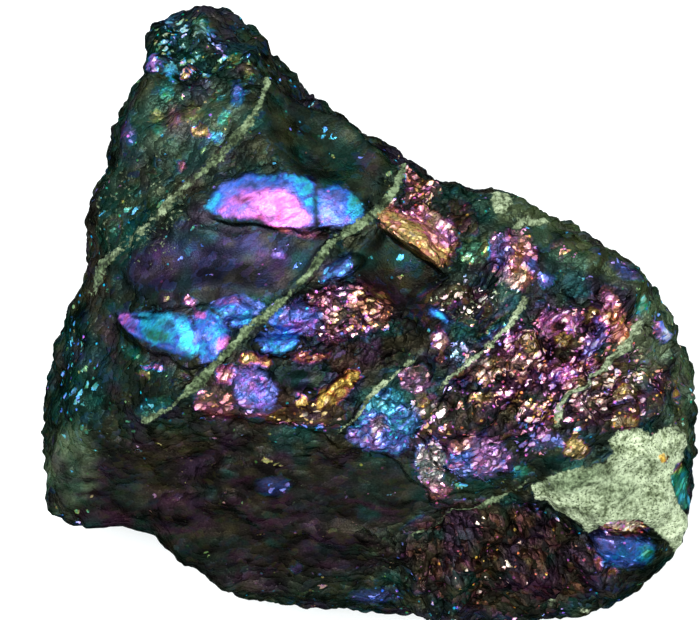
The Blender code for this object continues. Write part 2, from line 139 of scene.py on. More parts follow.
# Lumps and pits: centre, half length, half width in sheet units, turn in degrees from +X, height
# in mm (negative for a pit), and how much of the half width its flank takes.
FORMS = {
    "lens": (268, 206, 64, 27, 4, 0.28, 0.80),
    "lens end": (341, 212, 26, 21, 10, 0.22, 0.80),
    "hollow under the lens": (222, 266, 98, 30, 4, -0.55, 0.90),
    "upper hollow": (325, 152, 66, 36, -38, -1.10, 0.80),
    "deep pit": (392, 282, 56, 36, -38, -0.70, 0.95),
    "pit shelf": (345, 268, 20, 14, 20, 0.50, 0.60),
    "flame": (412, 247, 36, 13, -38, 0.70, 0.60),
    "pink slope": (424, 200, 30, 22, 50, 0.45, 0.80),
    "shard": (164, 335, 46, 21, -9, 0.40, 0.60),
    "shard end": (218, 341, 18, 26, 20, 0.35, 0.70),
    "blue ledge": (240, 317, 30, 12, 8, 0.45, 0.60),
    "violet ledge": (302, 318, 26, 14, 20, 0.40, 0.70),
    "blue bar": (278, 348, 28, 12, 12, 0.50, 0.60),
    "copper flakes": (348, 311, 44, 24, 0, 0.45, 0.60),
    "bowl": (258, 391, 26, 23, 0, 0.35, 0.80),
    "dark hollow": (300, 379, 32, 18, 8, -0.50, 0.95),
    "gold beads": (330, 391, 40, 8, 24, 0.55, 0.70),
    "blue patch": (384, 424, 38, 34, 35, 0.45, 0.70),
    "rosette": (415, 379, 17, 14, 0, 0.50, 0.70),
    "almond": (481, 457, 36, 21, -6, 0.45, 0.60),
    "oval": (514, 261, 34, 24, 78, 0.40, 0.70),
    "crease by the oval": (478, 285, 30, 16, 50, -0.70, 0.90),
    "eye": (557, 326, 22, 15, 10, 0.45, 0.60),
    "violet band": (594, 344, 34, 9, 50, 0.55, 0.60),
    "pink flake": (524, 350, 32, 14, 38, 0.55, 0.50),
    "orange strip": (616, 321, 30, 10, 62, 0.55, 0.60),
    "crumbled hollow": (600, 400, 48, 24, 30, -0.60, 0.90),
    "rim notch": (681, 427, 14, 9, 0, -0.90, 0.80),
    "right glint": (665, 328, 18, 8, -70, 0.40, 0.70),
    "matrix": (612, 486, 76, 36, 12, 0.70, 0.30),
    "matrix top": (652, 447, 30, 20, 30, 0.50, 0.60),
    "foot oval": (624, 549, 33, 18, 0, 0.60, 0.60),
    "lobe knob": (212, 42, 52, 26, -12, 0.60, 0.80),
    "lobe neck": (190, 112, 72, 16, 20, -0.55, 0.90),
    "left shoulder": (92, 350, 60, 12, 75, 0.40, 0.90),
    "shade hollow": (215, 455, 88, 22, 4, -0.80, 0.90),
    "lower ledge": (200, 505, 90, 14, -6, 0.60, 0.80),
    "dark ledge": (370, 545, 70, 18, -10, 0.60, 0.70),
    "foot step": (500, 575, 60, 16, 14, 0.55, 0.70),
}

# Ledges: the ground drops along the route, on its right-hand side seen from above, and comes back
# up over the reach. Drop in mm, reach in sheet units, route.
LEDGES = {
    "under the lens": (0.35, 34, [(202, 216), (240, 224), (280, 238), (325, 234), (364, 226)]),
    "over the shard": (0.35, 26, [(236, 309), (200, 314), (160, 316), (116, 309)]),
    "under the shard": (0.45, 26, [(118, 322), (150, 352), (200, 368), (240, 364)]),
    "under the flame": (0.80, 40, [(374, 221), (400, 247), (424, 262), (447, 279)]),
    "main ridge": (0.50, 70, [(150, 428), (215, 414), (290, 418), (340, 442), (400, 460),
                              (432, 500), (512, 482)]),
    "over the vein": (0.35, 30, [(452, 480), (410, 430), (440, 395), (500, 352)]),
    "matrix foot": (0.70, 30, [(540, 506), (580, 524), (640, 526), (684, 548)]),
}

# How much of the blocky grain each stretch of the surface takes: centre, half length, half width,
# turn, share. Elsewhere it takes PLAIN_GRAIN.
PLAIN_GRAIN = 0.55
GRAINY = {
    "lobe": (210, 50, 90, 55, -10, 1.1),
    "copper field": (550, 370, 120, 75, 20, 1.2),
    "upper centre": (430, 210, 60, 55, -30, 1.0),
    "flakes": (350, 320, 70, 50, 0, 0.9),
    "lower right": (500, 560, 130, 70, 10, 1.3),
    "right edge": (672, 370, 40, 90, 0, 1.0),
    "lens": (280, 205, 90, 32, 6, 0.15),
    "dark smooth": (230, 268, 110, 40, 4, 0.15),
    "upper hollow": (325, 150, 80, 45, -38, 0.25),
    "pit": (396, 277, 54, 34, -38, 0.12),
    "dark hollow": (298, 379, 22, 12, 0, 0.12),
    "matrix teal": (680, 486, 11, 24, 0, 0.12),
    "blue patch": (384, 424, 34, 32, 0, 0.8),
    "dark ridge": (380, 490, 50, 34, 0, 0.25),
    "matrix": (612, 486, 80, 42, 12, 0.45),
    "shard": (164, 336, 44, 20, -20, 0.12),
    "shard end": (219, 337, 14, 26, 8, 0.35),
    "bowl": (260, 391, 22, 19, 0, 0.35),
    "foot oval": (624, 549, 32, 18, 0, 0.35),
    "lower face": (230, 505, 190, 62, -4, 0.35),
}
SIDE_GRAIN = 0.8  # the share on the sides and the back

# How softly an oval ends: where its cover starts to fall and where it is gone, its edge being 1.
GRAIN_EDGE = (0.6, 1.15)
FILM_EDGE = (0.95, 1.2)
PALE_EDGE = (0.6, 1.1)
ZONE_EDGE = (0.6, 1.2)
STREAK_EDGE = (0.7, 1.15)
SPOT_EDGE = (0.5, 1.1)
TONE_EDGE = (0.4, 1.2)
# The same for a traced outline, in sheet units inside it.
TRACED_GRAIN_EDGE = (-2.0, 3.0)
TRACED_RISE_EDGE = (-1.5, 2.5)
MATRIX_EDGE = (-1.5, 2.0)

# How the forms wander from their drawn places: each wave's size and sway, in sheet units. These
# kinds of form have to stay nearer their place and take only a part of it.
WANDER = [(46.0, 9.0), (17.0, 4.0)]
VEIN_SWAY = 0.35
TRACED_SWAY = 0.2
PATCH_SWAY = 0.25
CRACK_SWAY = 0.3
MATRIX_SWAY = 0.4
VEIN_RISE = 0.3  # how much of its height in the CAD solid a vein has here
LEDGE_TAPER = 24.0  # how far from its ends a ledge has its full drop, in sheet units

# The blocky grains: size and height in mm. The CAD solid has the first two.
GRAINS = {"blocks": (3.8, 1.5), "lumps": (1.6, 0.85)}
FINE_GRAINS = {"chips": (0.8, 0.42), "bits": (0.38, 0.16)}
BACK_STEPS = (8.0, 1.8)
SIDE_SINK = 0.2  # how far the steep sides sink, as a share of a grain's height
GRAIN_SEED, SEED_STEP, BACK_SEED = 100, 10, 300
FRAME_COUNT = 16

# The film's scale: where each colour lies, and its red, green and blue as seen on a screen.
FILM = {
    "bronze": (0.00, (120, 74, 44)),
    "gold": (0.045, (240, 188, 74)),
    "straw": (0.075, (250, 214, 104)),
    "amber": (0.105, (246, 196, 90)),
    "copper": (0.14, (238, 130, 70)),
    "salmon": (0.18, (240, 130, 122)),
    "rose": (0.23, (238, 116, 160)),
    "pink": (0.28, (232, 100, 206)),
    "orchid": (0.32, (236, 136, 240)),
    "violet": (0.37, (158, 104, 230)),
    "periwinkle": (0.43, (112, 134, 240)),
    "blue": (0.49, (48, 108, 226)),
    "cyan": (0.56, (44, 188, 236)),
    "teal": (0.63, (24, 150, 130)),
    "green": (0.70, (44, 122, 62)),
    "olive": (0.78, (134, 134, 56)),
    "plum": (0.86, (130, 66, 100)),
    "slate": (0.93, (66, 80, 140)),
    "sea green": (1.00, (40, 130, 110)),
}
FILM_PLACE = {name: place for name, (place, _) in FILM.items()}
PLAIN_FILM, PLAIN_SPREAD, PLAIN_SHARE = "green", 0.34, 0.07
RIM_TARNISH = 2.5  # how far the patches reach down the rim
# How far off a chip takes its colours, in sheet units, the least share of that, and what the chip's
# and the bit's own numbers are multiplied by along u and along v.
JAG = 8.0
LEAST_JAG = 0.25
JAG_LOTS = [(7.3, 5.9), (13.7, 11.3)]
ROCK_JAG = 0.3  # the part of it that the rock's edges take

# The dark ground between the bright facets, and its zones: oval, tone.
GROUNDS = {
    "green black": (34, 44, 37),
    "grey green": (62, 78, 64),
    "maroon": (36, 20, 28),
    "brown": (46, 32, 29),
    "brown black": (37, 34, 29),
    "green brown": (34, 38, 32),
    "warm black": (30, 29, 25),
    "navy": (29, 31, 44),
    "olive": (66, 78, 54),
    "black": (48, 46, 40),
    "teal black": (26, 46, 39),
    "pale green": (86, 100, 78),
    "blue slate": (36, 56, 64),
    "dark": (22, 22, 20),
}
PLAIN_GROUND = "green black"
ZONE_FADE = 0.004  # how far under the rim the zones fade out
GROUND_ZONES = {
    "shoulder": (130, 230, 60, 60, 40, "teal black"),
    "neck": (190, 120, 60, 40, 10, "grey green"),
    "lobe": (205, 50, 70, 45, -10, "teal black"),
    "lobe flank": (262, 60, 12, 40, -60, "brown black"),
    "left edge": (95, 250, 12, 170, 6, "black"),
    "left band": (75, 380, 36, 90, 10, "teal black"),
    "under the lens": (222, 265, 105, 38, 4, "navy"),
    # The pit's darker tone is painted shade in the pit.
    "pit": (396, 277, 52, 34, -38, "warm black"),
    "centre": (470, 330, 70, 50, 30, "dark"),
    "left of the centre": (366, 352, 34, 22, -30, "dark"),
    "under the flakes": (400, 340, 30, 24, 0, "dark"),
    "copper field": (545, 372, 110, 66, 20, "maroon"),
    "copper flakes": (348, 311, 50, 30, 0, "maroon"),
    "beads": (290, 385, 100, 40, 10, "brown"),
    # The dark hollow's near-black tone is painted shade in the hollow.
    "dark hollow": (300, 379, 30, 16, 8, "dark"),
    "shade": (250, 455, 150, 30, 0, "brown black"),
    "lower face": (230, 520, 190, 70, -4, "brown black"),
    "dark ridge": (400, 490, 20, 46, 0, "green brown"),
    "lower right": (500, 555, 110, 62, 0, "warm black"),
    "upper right rim": (570, 240, 110, 26, -28, "olive"),
    "rim dark": (520, 280, 90, 30, -20, "green black"),
    "navy shelf": (572, 285, 36, 14, -12, "navy"),
    "right edge": (686, 395, 16, 60, 0, "pale green"),
    "right crumbs": (620, 395, 55, 40, 10, "brown black"),
    "lower left patch": (68, 470, 36, 44, 0, "pale green"),
    "field hollow": (563, 344, 17, 13, 10, "black"),
    "field foot": (487, 418, 42, 13, 4, "black"),
    "right band": (655, 330, 22, 66, -20, "pale green"),
    "smooth teal": (492, 328, 34, 12, 52, "blue slate"),
    "left of the patch": (356, 392, 12, 20, -20, "navy"),
}

# Mottles of the ground on every side: for each tone their size in mm, the most they cover, a seed.
MOTTLES = {(56, 36, 62): (1.5, 0.45, 95), (16, 62, 56): (1.2, 0.5, 96),
           (66, 62, 40): (0.9, 0.35, 97), (18, 19, 18): (0.8, 0.6, 98)}
# Long streaks on the lower face: how long and wide one is, the oval that they fill, and each tone
# with its seed.
STREAK = (30.0, 7.0)
STREAKY = (245, 515, 200, 72, -4)
STREAK_TONES = {(50, 34, 44): 91, (30, 38, 32): 92, (24, 22, 21): 93}

# The bright patches: oval, how much of the half width the edge takes, film, how far the film
# strays, the share of its facets that shine, and its even glow.
PATCHES = {
    "lobe teal": (198, 46, 62, 44, -10, 0.4, "teal", 0.2, 0.58, 0),
    "lobe crown": (204, 20, 36, 15, 0, 0.6, "teal", 0.16, 0.7, 0.05),
    "lobe top left": (170, 24, 8, 8, 40, 0.6, "cyan", 0.08, 0.85, 0.15),
    "lobe flank": (250, 30, 12, 32, -50, 0.6, "bronze", 0.1, 0.1, 0),
    "lobe purple": (154, 66, 10, 11, -40, 0.5, "violet", 0.05, 1, 0.55),
    "lobe cyan": (172, 75, 7, 9, 0, 0.5, "cyan", 0.03, 1, 0.85),
    "lobe gold": (190, 76, 6, 5, 0, 0.6, "gold", 0.02, 0.9, 0.6),
    "lobe blue": (223, 48, 10, 15, 0, 0.8, "periwinkle", 0.1, 0.7, 0.1),
    "lobe yellow": (236, 60, 6, 6, 0, 0.6, "olive", 0.03, 0.9, 0.7),
    "lobe yellow low": (250, 76, 6, 8, -20, 0.7, "olive", 0.04, 0.8, 0.6),
    "neck teal spot": (169, 97, 7, 11, 0, 0.6, "teal", 0.05, 0.8, 0.65),
    "neck blue": (239, 99, 9, 14, -20, 0.6, "blue", 0.08, 0.7, 0.5),
    "neck teal": (219, 101, 11, 6, 0, 0.8, "teal", 0.05, 0.5, 0.3),
    "neck dusk": (200, 93, 22, 10, 0, 0.9, "slate", 0.1, 0.1, 0.1),
    "neck olive": (195, 117, 12, 14, -10, 0.8, "olive", 0.06, 0.4, 0.45),
    "neck gold": (202, 135, 9, 7, 0, 0.6, "gold", 0.03, 0.8, 0.5),
    "neck pale": (159, 121, 7, 8, 20, 0.6, "olive", 0.03, 0.7, 0.8),
    "neck purple": (176, 120, 9, 15, 0, 0.8, "plum", 0.06, 0.5, 0.6),
    "neck sea": (161, 133, 10, 7, 0, 0.8, "teal", 0.06, 0.5, 0.5),
    "neck green": (226, 120, 6, 8, 0, 0.5, "teal", 0.04, 0.8, 0.8),
    "neck cyan": (218, 139, 6, 7, 20, 0.6, "cyan", 0.05, 0.8, 0.6),
    "edge violet": (131, 136, 9, 13, 20, 0.7, "violet", 0.12, 0.8, 0.2),
    "edge speckle": (112, 175, 14, 34, 16, 0.8, "sea green", 0.3, 0.2, 0),
    "shoulder teal": (140, 215, 44, 26, 30, 0.9, "teal", 0.12, 0.12, 0.05),
    "left green": (118, 232, 8, 12, 0, 0.7, "sea green", 0.06, 0.6, 0.2),
    "neck red": (184, 170, 5, 6, 0, 0.8, "rose", 0.05, 0.6, 0.3),
    "dark smooth": (222, 266, 90, 26, 4, 0.6, "periwinkle", 0.12, 0.03, 0),
    "dark slate": (256, 250, 26, 11, -10, 0.9, "periwinkle", 0.06, 0.06, 0.06),
    "dark maroon": (306, 236, 24, 6, -10, 0.9, "rose", 0.05, 0.05, 0.14),
    "violet glint": (283, 258, 8, 3, -20, 0.5, "violet", 0.04, 1, 0.8),
    "dark violet": (262, 262, 20, 6, -10, 0.9, "violet", 0.05, 0.1, 0.05),
    "under blue": (192, 252, 24, 16, 0, 0.9, "blue", 0.1, 0.1, 0.04),
    "pink beads": (422, 190, 22, 17, 40, 0.4, "salmon", 0.16, 0.85, 0.08),
    "pink beads left": (408, 178, 10, 12, 40, 0.5, "salmon", 0.08, 0.8, 0.1),
    "slope beads": (462, 220, 12, 24, 20, 0.6, "salmon", 0.2, 0.4, 0),
    "hollow glitter": (368, 165, 17, 9, -30, 0.7, "periwinkle", 0.16, 0.6, 0),
    "rim teal": (312, 130, 44, 7, -32, 0.8, "teal", 0.1, 0.5, 0),
    "rim olive": (385, 178, 18, 13, -40, 0.8, "olive", 0.14, 0.4, 0),
    "copper flakes": (347, 313, 46, 28, 0, 0.3, "rose", 0.16, 0.95, 0.05),
    "flakes rose": (322, 306, 18, 14, 0, 0.6, "rose", 0.1, 1, 0.05),
    "flakes gold": (381, 312, 12, 22, 10, 0.6, "copper", 0.12, 0.85, 0.1),
    "flakes violet": (331, 340, 16, 9, 0, 0.6, "pink", 0.12, 0.7, 0.1),
    "orange streak": (312, 358, 19, 5, 4, 0.5, "copper", 0.08, 0.8, 0.3),
    "ledge pink": (193, 305, 9, 6, -30, 0.6, "pink", 0.08, 0.9, 0.3),
    "under teal": (134, 353, 14, 6, -30, 0.7, "teal", 0.06, 0.7, 0.2),
    "under lilac": (157, 368, 16, 3, -4, 0.5, "orchid", 0.1, 1, 0.3),
    "under gold": (146, 374, 10, 4, -20, 0.5, "olive", 0.04, 1, 0.5),
    "under slate": (190, 376, 7, 4, -50, 0.6, "slate", 0.04, 0.8, 0.5),
    "under green": (156, 407, 26, 9, 28, 0.5, "teal", 0.06, 0.5, 0.16),
    "bowl crest": (258, 362, 17, 8, -10, 0.4, "copper", 0.06, 1, 0.5),
    "bowl left": (233, 376, 15, 9, 10, 0.4, "rose", 0.06, 0.9, 0.55),
    "purple beads": (205, 401, 8, 12, 0, 0.5, "pink", 0.12, 0.8, 0.2),
    "salmon beads": (222, 404, 22, 17, -10, 0.5, "salmon", 0.12, 0.75, 0.08),
    "bowl foot": (262, 412, 22, 6, 0, 0.5, "rose", 0.08, 0.7, 0.15),
    "rust beads": (308, 417, 36, 16, 0, 0.6, "bronze", 0.14, 0.5, 0.04),
    "yellow bead": (302, 401, 8, 5, 0, 0.4, "straw", 0.02, 1, 0.9),
    "gold beads": (338, 390, 29, 11, 36, 0.4, "copper", 0.05, 0.3, 0.25),
    "dark hollow": (300, 379, 32, 15, 8, 0.5, "violet", 0.05, 0, 0),
    "rosette": (414, 381, 18, 14, 0, 0.3, "pink", 0.1, 0.8, 0.12),
    "centre crumbs": (462, 303, 50, 24, 16, 0.5, "rose", 0.4, 0.4, 0),
    "centre pink": (477, 297, 12, 8, 0, 0.5, "rose", 0.1, 0.6, 0),
    "centre green": (504, 297, 18, 10, 30, 0.5, "green", 0.12, 0.7, 0.05),
    "smooth teal": (492, 326, 32, 10, 50, 0.6, "slate", 0.04, 0, 0.16),
    "cream cluster": (438, 343, 11, 9, 20, 0.4, "rose", 0.14, 0.95, 0.25),
    "brown cluster": (440, 360, 6, 9, 0, 0.5, "copper", 0.06, 0.7, 0.1),
    "blue glitter": (461, 354, 17, 13, 50, 0.5, "blue", 0.16, 0.65, 0.08),
    "vein green": (458, 379, 24, 5, 40, 0.7, "teal", 0.06, 0.2, 0.15),
    "crumb slope": (432, 407, 26, 13, -14, 0.5, "rose", 0.22, 0.62, 0.03),
    "red bead": (414, 413, 5, 4, 0, 0.5, "rose", 0.03, 1, 0.6),
    "grey glitter": (434, 428, 26, 18, -10, 0.5, "rose", 0.3, 0.6, 0.03),
    "almond crumbs": (452, 484, 22, 8, 0, 0.6, "violet", 0.2, 0.45, 0),
    "almond crumbs top": (520, 450, 18, 12, 0, 0.6, "rose", 0.2, 0.4, 0),
    "almond teal": (520, 471, 11, 8, 0, 0.7, "teal", 0.05, 0.8, 0.55),
    "green glitter": (470, 254, 22, 15, -10, 0.5, "green", 0.06, 0.95, 0.2),
    "green glitter edge": (488, 250, 8, 16, 10, 0.6, "olive", 0.05, 0.8, 0.25),
    "blue by the oval": (544, 281, 9, 8, 30, 0.5, "periwinkle", 0.06, 0.9, 0.35),
    "gold spots": (563, 257, 14, 13, 0, 0.5, "salmon", 0.2, 0.5, 0),
    "copper field": (545, 372, 104, 60, 28, 0.25, "pink", 0.2, 0.55, 0),
    "field rows": (505, 398, 42, 16, 4, 0.5, "rose", 0.2, 0.38, 0),
    "left crumbs": (520, 348, 21, 15, 24, 0.3, "rose", 0.14, 0.92, 0.08),
    "left crumbs pink": (509, 339, 8, 7, 0, 0.5, "orchid", 0.06, 1, 0.3),
    "gold heart": (526, 345, 9, 7, -20, 0.5, "gold", 0.05, 1, 0.3),
    "cream worms": (521, 363, 25, 8, -8, 0.4, "salmon", 0.06, 1, 0.15),
    "low crumbs": (486, 371, 17, 12, 20, 0.3, "salmon", 0.1, 0.95, 0.1),
    "low crumbs gold": (492, 370, 6, 5, 0, 0.5, "gold", 0.04, 1, 0.3),
    "pale flake": (519, 378, 7, 5, 30, 0.4, "salmon", 0.04, 1, 0.6),
    "field gap": (500, 384, 14, 6, 0, 0.4, "rose", 0.2, 0, 0),
    "field gap right": (538, 389, 16, 8, 0, 0.5, "rose", 0.2, 0.08, 0),
    "magenta patch": (563, 376, 16, 10, 14, 0.3, "orchid", 0.08, 1, 0.55),
    "pink line": (503, 393, 10, 3, 0, 0.5, "pink", 0.05, 1, 0.4),
    "gold rosette low": (480, 399, 11, 8, 0, 0.4, "gold", 0.1, 0.95, 0.2),
    "gold line": (532, 408, 28, 2.5, -27, 0.5, "straw", 0.04, 1, 0.5),
    "eye ring": (554, 326, 24, 16, 5, 0.3, "pink", 0.08, 1, 0.5),
    "eye hole": (555, 328, 8, 6, 0, 0.5, "rose", 0.1, 0, 0),
    "eye foot": (557, 341, 9, 6, 0, 0.4, "gold", 0.06, 1, 0.35),
    "field hollow": (562, 354, 13, 8, 10, 0.3, "rose", 0.2, 0, 0),
    "field foot": (480, 419, 36, 12, -4, 0.4, "rose", 0.2, 0.02, 0),
    "band crumbs": (588, 364, 10, 11, 0, 0.4, "salmon", 0.1, 0.95, 0.15),
    "violet band": (594, 338, 27, 10, 62, 0.4, "violet", 0.07, 0.8, 0.3),
    "band gold": (585, 318, 6, 6, 0, 0.5, "gold", 0.05, 0.9, 0.2),
    "right crumbs": (618, 393, 54, 38, 10, 0.4, "rose", 0.24, 0.64, 0.03),
    "rose chip": (578, 402, 5, 10, 20, 0.5, "rose", 0.04, 1, 0.4),
    "yellow crumb": (620, 391, 6, 8, 0, 0.5, "straw", 0.02, 1, 0.7),
    "cream chip": (600, 402, 10, 5, 0, 0.4, "salmon", 0.03, 1, 0.4),
    "cream row": (622, 424, 17, 5, 10, 0.4, "gold", 0.08, 1, 0.3),
    "crumb gap": (604, 414, 10, 4, 0, 0.5, "rose", 0.1, 0, 0),
    "gold rosette": (573, 449, 12, 12, 0, 0.3, "gold", 0.06, 1, 0.35),
    "violet crumbs": (540, 438, 15, 13, -10, 0.4, "violet", 0.14, 0.9, 0.15),
    "pale crumbs": (557, 443, 6, 9, 0, 0.5, "periwinkle", 0.05, 1, 0.4),
    "rim blue": (624, 274, 20, 9, -40, 0.7, "periwinkle", 0.08, 0.4, 0.18),
    "rim green": (640, 300, 22, 10, -50, 0.8, "green", 0.1, 0.3, 0.1),
    "rim spot": (641, 307, 7, 7, 0, 0.6, "teal", 0.03, 0.8, 0.8),
    "edge crumbs": (686, 370, 12, 60, -4, 0.6, "olive", 0.2, 0.35, 0.05),
    "edge orange": (678, 392, 3, 15, 8, 0.6, "gold", 0.04, 0.5, 0.45),
    "foot copper": (622, 526, 21, 7, -4, 0.4, "rose", 0.2, 1, 0.35),
    "foot brown": (603, 563, 11, 7, 0, 0.6, "salmon", 0.1, 0.6, 0.25),
    "foot orange": (613, 574, 9, 3, 0, 0.6, "copper", 0.04, 0.9, 0.2),
    "lower face": (260, 510, 200, 80, 0, 0.5, "plum", 0.2, 0.03, 0),
    "lower right": (500, 560, 95, 55, -10, 0.6, "salmon", 0.1, 0.06, 0),
    "shade violet": (277, 486, 20, 10, 0, 0.6, "periwinkle", 0.08, 0.6, 0.12),
    "shade purple": (165, 496, 42, 15, -8, 0.9, "plum", 0.1, 0.16, 0.05),
    "shade maroon": (335, 492, 40, 12, 0, 0.9, "plum", 0.1, 0.12, 0.04),
    "shade violet low": (298, 570, 8, 5, 0, 0.7, "violet", 0.05, 0.7, 0.15),
    "slate patch": (373, 597, 23, 9, 0, 0.7, "periwinkle", 0.05, 0.4, 0.15),
    "left specks": (76, 370, 32, 90, 8, 0.7, "teal", 0.2, 0.34, 0),
}
# Bright facets with an edge of their own: film, how far it strays, share, glow, how much grain they
# take, how far they stand out in mm, and the corners.
TRACED = {
    "lens": ("periwinkle", 0.05, 0, 0.9, 0.12, 0.04, [
        (208, 213), (216, 197), (230, 185), (251, 178), (273, 180), (295, 178), (316, 187),
        (318, 200), (316, 215), (317, 228), (300, 231), (287, 235), (277, 232), (262, 223),
        (246, 220), (227, 218)]),
    "lens pink": ("orchid", 0.04, 0, 0.98, 0.12, 0, [
        (214, 214), (228, 211), (236, 205), (245, 198), (263, 193), (284, 192), (291, 200),
        (299, 211), (308, 223), (300, 230), (287, 234), (276, 230), (262, 222), (246, 219)]),
    "lens end": ("periwinkle", 0.06, 0.1, 0.85, 0.25, 0.04, [
        (320, 194), (335, 190), (348, 196), (357, 203), (364, 213), (361, 222), (350, 227),
        (338, 230), (322, 231), (319, 216)]),
    "shard": ("blue", 0.06, 0.1, 0.65, 0.15, 0.06, [
        (120, 314), (148, 313), (179, 316), (194, 321), (201, 338), (202, 352), (196, 357),
        (179, 355), (162, 348), (148, 340), (131, 332), (122, 322)]),
    "shard cyan": ("cyan", 0.03, 0.1, 0.95, 0.15, 0, [
        (136, 317), (160, 317), (180, 319), (193, 323), (199, 337), (201, 352), (195, 356),
        (189, 346), (185, 335), (176, 327), (154, 323), (138, 322)]),
    "shard end": ("blue", 0.06, 0.2, 0.8, 0.25, 0.04, [
        (197, 318), (213, 314), (228, 322), (233, 334), (230, 348), (216, 362), (206, 366),
        (202, 352), (200, 336)]),
    "blue ledge": ("blue", 0.08, 0.25, 0.62, 0.4, 0.05, [
        (212, 308), (224, 302), (240, 299), (258, 301), (266, 309), (258, 320), (246, 330),
        (236, 330), (229, 320)]),
    "violet ledge": ("periwinkle", 0.1, 0.3, 0.52, 0.45, 0.05, [
        (278, 312), (290, 306), (303, 304), (314, 311), (322, 324), (312, 334), (298, 337),
        (282, 334), (272, 326)]),
    "blue bar": ("blue", 0.07, 0.3, 0.75, 0.4, 0.05, [
        (258, 342), (268, 335), (282, 333), (297, 335), (301, 343), (293, 352), (281, 357),
        (268, 353)]),
    "blue corner": ("blue", 0.05, 0.8, 0.28, 0.2, 0, [
        (350, 255), (353, 278), (326, 283), (324, 273), (334, 264)]),
    "bowl": ("periwinkle", 0.08, 0.4, 0.54, 0.5, 0.03, [
        (240, 373), (252, 369), (264, 372), (272, 380), (279, 392), (276, 403), (264, 408),
        (250, 407), (241, 401), (238, 387)]),
    "flame": ("copper", 0.12, 1, 0.5, 0.6, 0.1, [
        (378, 217), (388, 207), (399, 214), (410, 216), (424, 208), (436, 216), (448, 228),
        (451, 244), (447, 262), (440, 269), (428, 264), (412, 254), (398, 243), (386, 231)]),
    "blue patch": ("blue", 0.1, 0.9, 0.4, 0.85, 0.03, [
        (364, 406), (374, 393), (390, 389), (400, 396), (404, 404), (415, 413), (419, 424),
        (411, 433), (411, 446), (397, 456), (386, 451), (374, 453), (358, 444), (347, 437),
        (352, 428), (362, 420)]),
    "almond": ("violet", 0.1, 1, 0.26, 0.9, 0.03, [
        (446, 452), (453, 441), (460, 443), (467, 434), (478, 438), (486, 436), (492, 443),
        (503, 443), (506, 451), (514, 455), (506, 463), (507, 470), (494, 472), (482, 478),
        (470, 474), (458, 477), (451, 469), (444, 463)]),
    "silver": ("periwinkle", 0.24, 0.88, 0.24, 0.9, 0, [
        (418, 446), (430, 441), (442, 446), (446, 458), (444, 472), (436, 484), (424, 484),
        (417, 472), (415, 458)]),
    "dart": ("blue", 0.04, 0, 0.65, 0.1, 0.03, [
        (427, 312), (435, 312), (442, 316), (449, 324), (447, 327), (438, 322), (430, 318)]),
    "strip": ("salmon", 0.1, 1, 0.35, 0.6, 0.05, [
        (597, 296), (603, 292), (610, 296), (615, 308), (621, 320), (628, 331), (627, 341),
        (620, 347), (611, 341), (605, 328), (600, 314)]),
    "oval": ("pink", 0.12, 0.72, 0.22, 0.9, 0.05, [
        (494, 236), (506, 232), (522, 234), (530, 244), (534, 262), (530, 280), (520, 292),
        (508, 288), (496, 282), (491, 262)]),
    "notch": ("teal", 0.05, 0.9, 0.45, 0.1, -0.15, [
        (668, 462), (677, 460), (686, 470), (691, 488), (690, 508), (682, 508), (674, 498),
        (669, 481)]),
    "gold spot": ("straw", 0, 0.3, 0.95, 0.2, 0.05, [
        (652, 451), (660, 450), (665, 457), (661, 464), (653, 463)]),
    "foot oval": ("blue", 0.06, 0.4, 0.36, 0.4, 0, [
        (592, 537), (604, 532), (620, 536), (636, 535), (650, 541), (655, 550), (651, 560),
        (640, 566), (626, 569), (612, 566), (602, 556), (594, 548)]),
    "right glint": ("periwinkle", 0.05, 0.8, 0.85, 0.3, 0.05, [
        (654, 323), (660, 315), (669, 314), (674, 322), (672, 334), (667, 343), (659, 343),
        (654, 334)]),
    "lobe green": ("teal", 0.05, 0.9, 0.6, 0.6, 0.05, [
        (198, 22), (206, 20), (214, 26), (216, 34), (209, 39), (200, 34)]),
    "hot spot": ("rose", 0.08, 0.85, 0.22, 0.8, 0.03, [
        (427, 487), (436, 484), (448, 486), (453, 493), (447, 500), (434, 500), (427, 495)]),
    "foot crumbs": ("salmon", 0.24, 1, 0.4, 0.9, 0.03, [
        (603, 520), (618, 518), (634, 521), (643, 527), (640, 533), (624, 531), (604, 529)]),
}
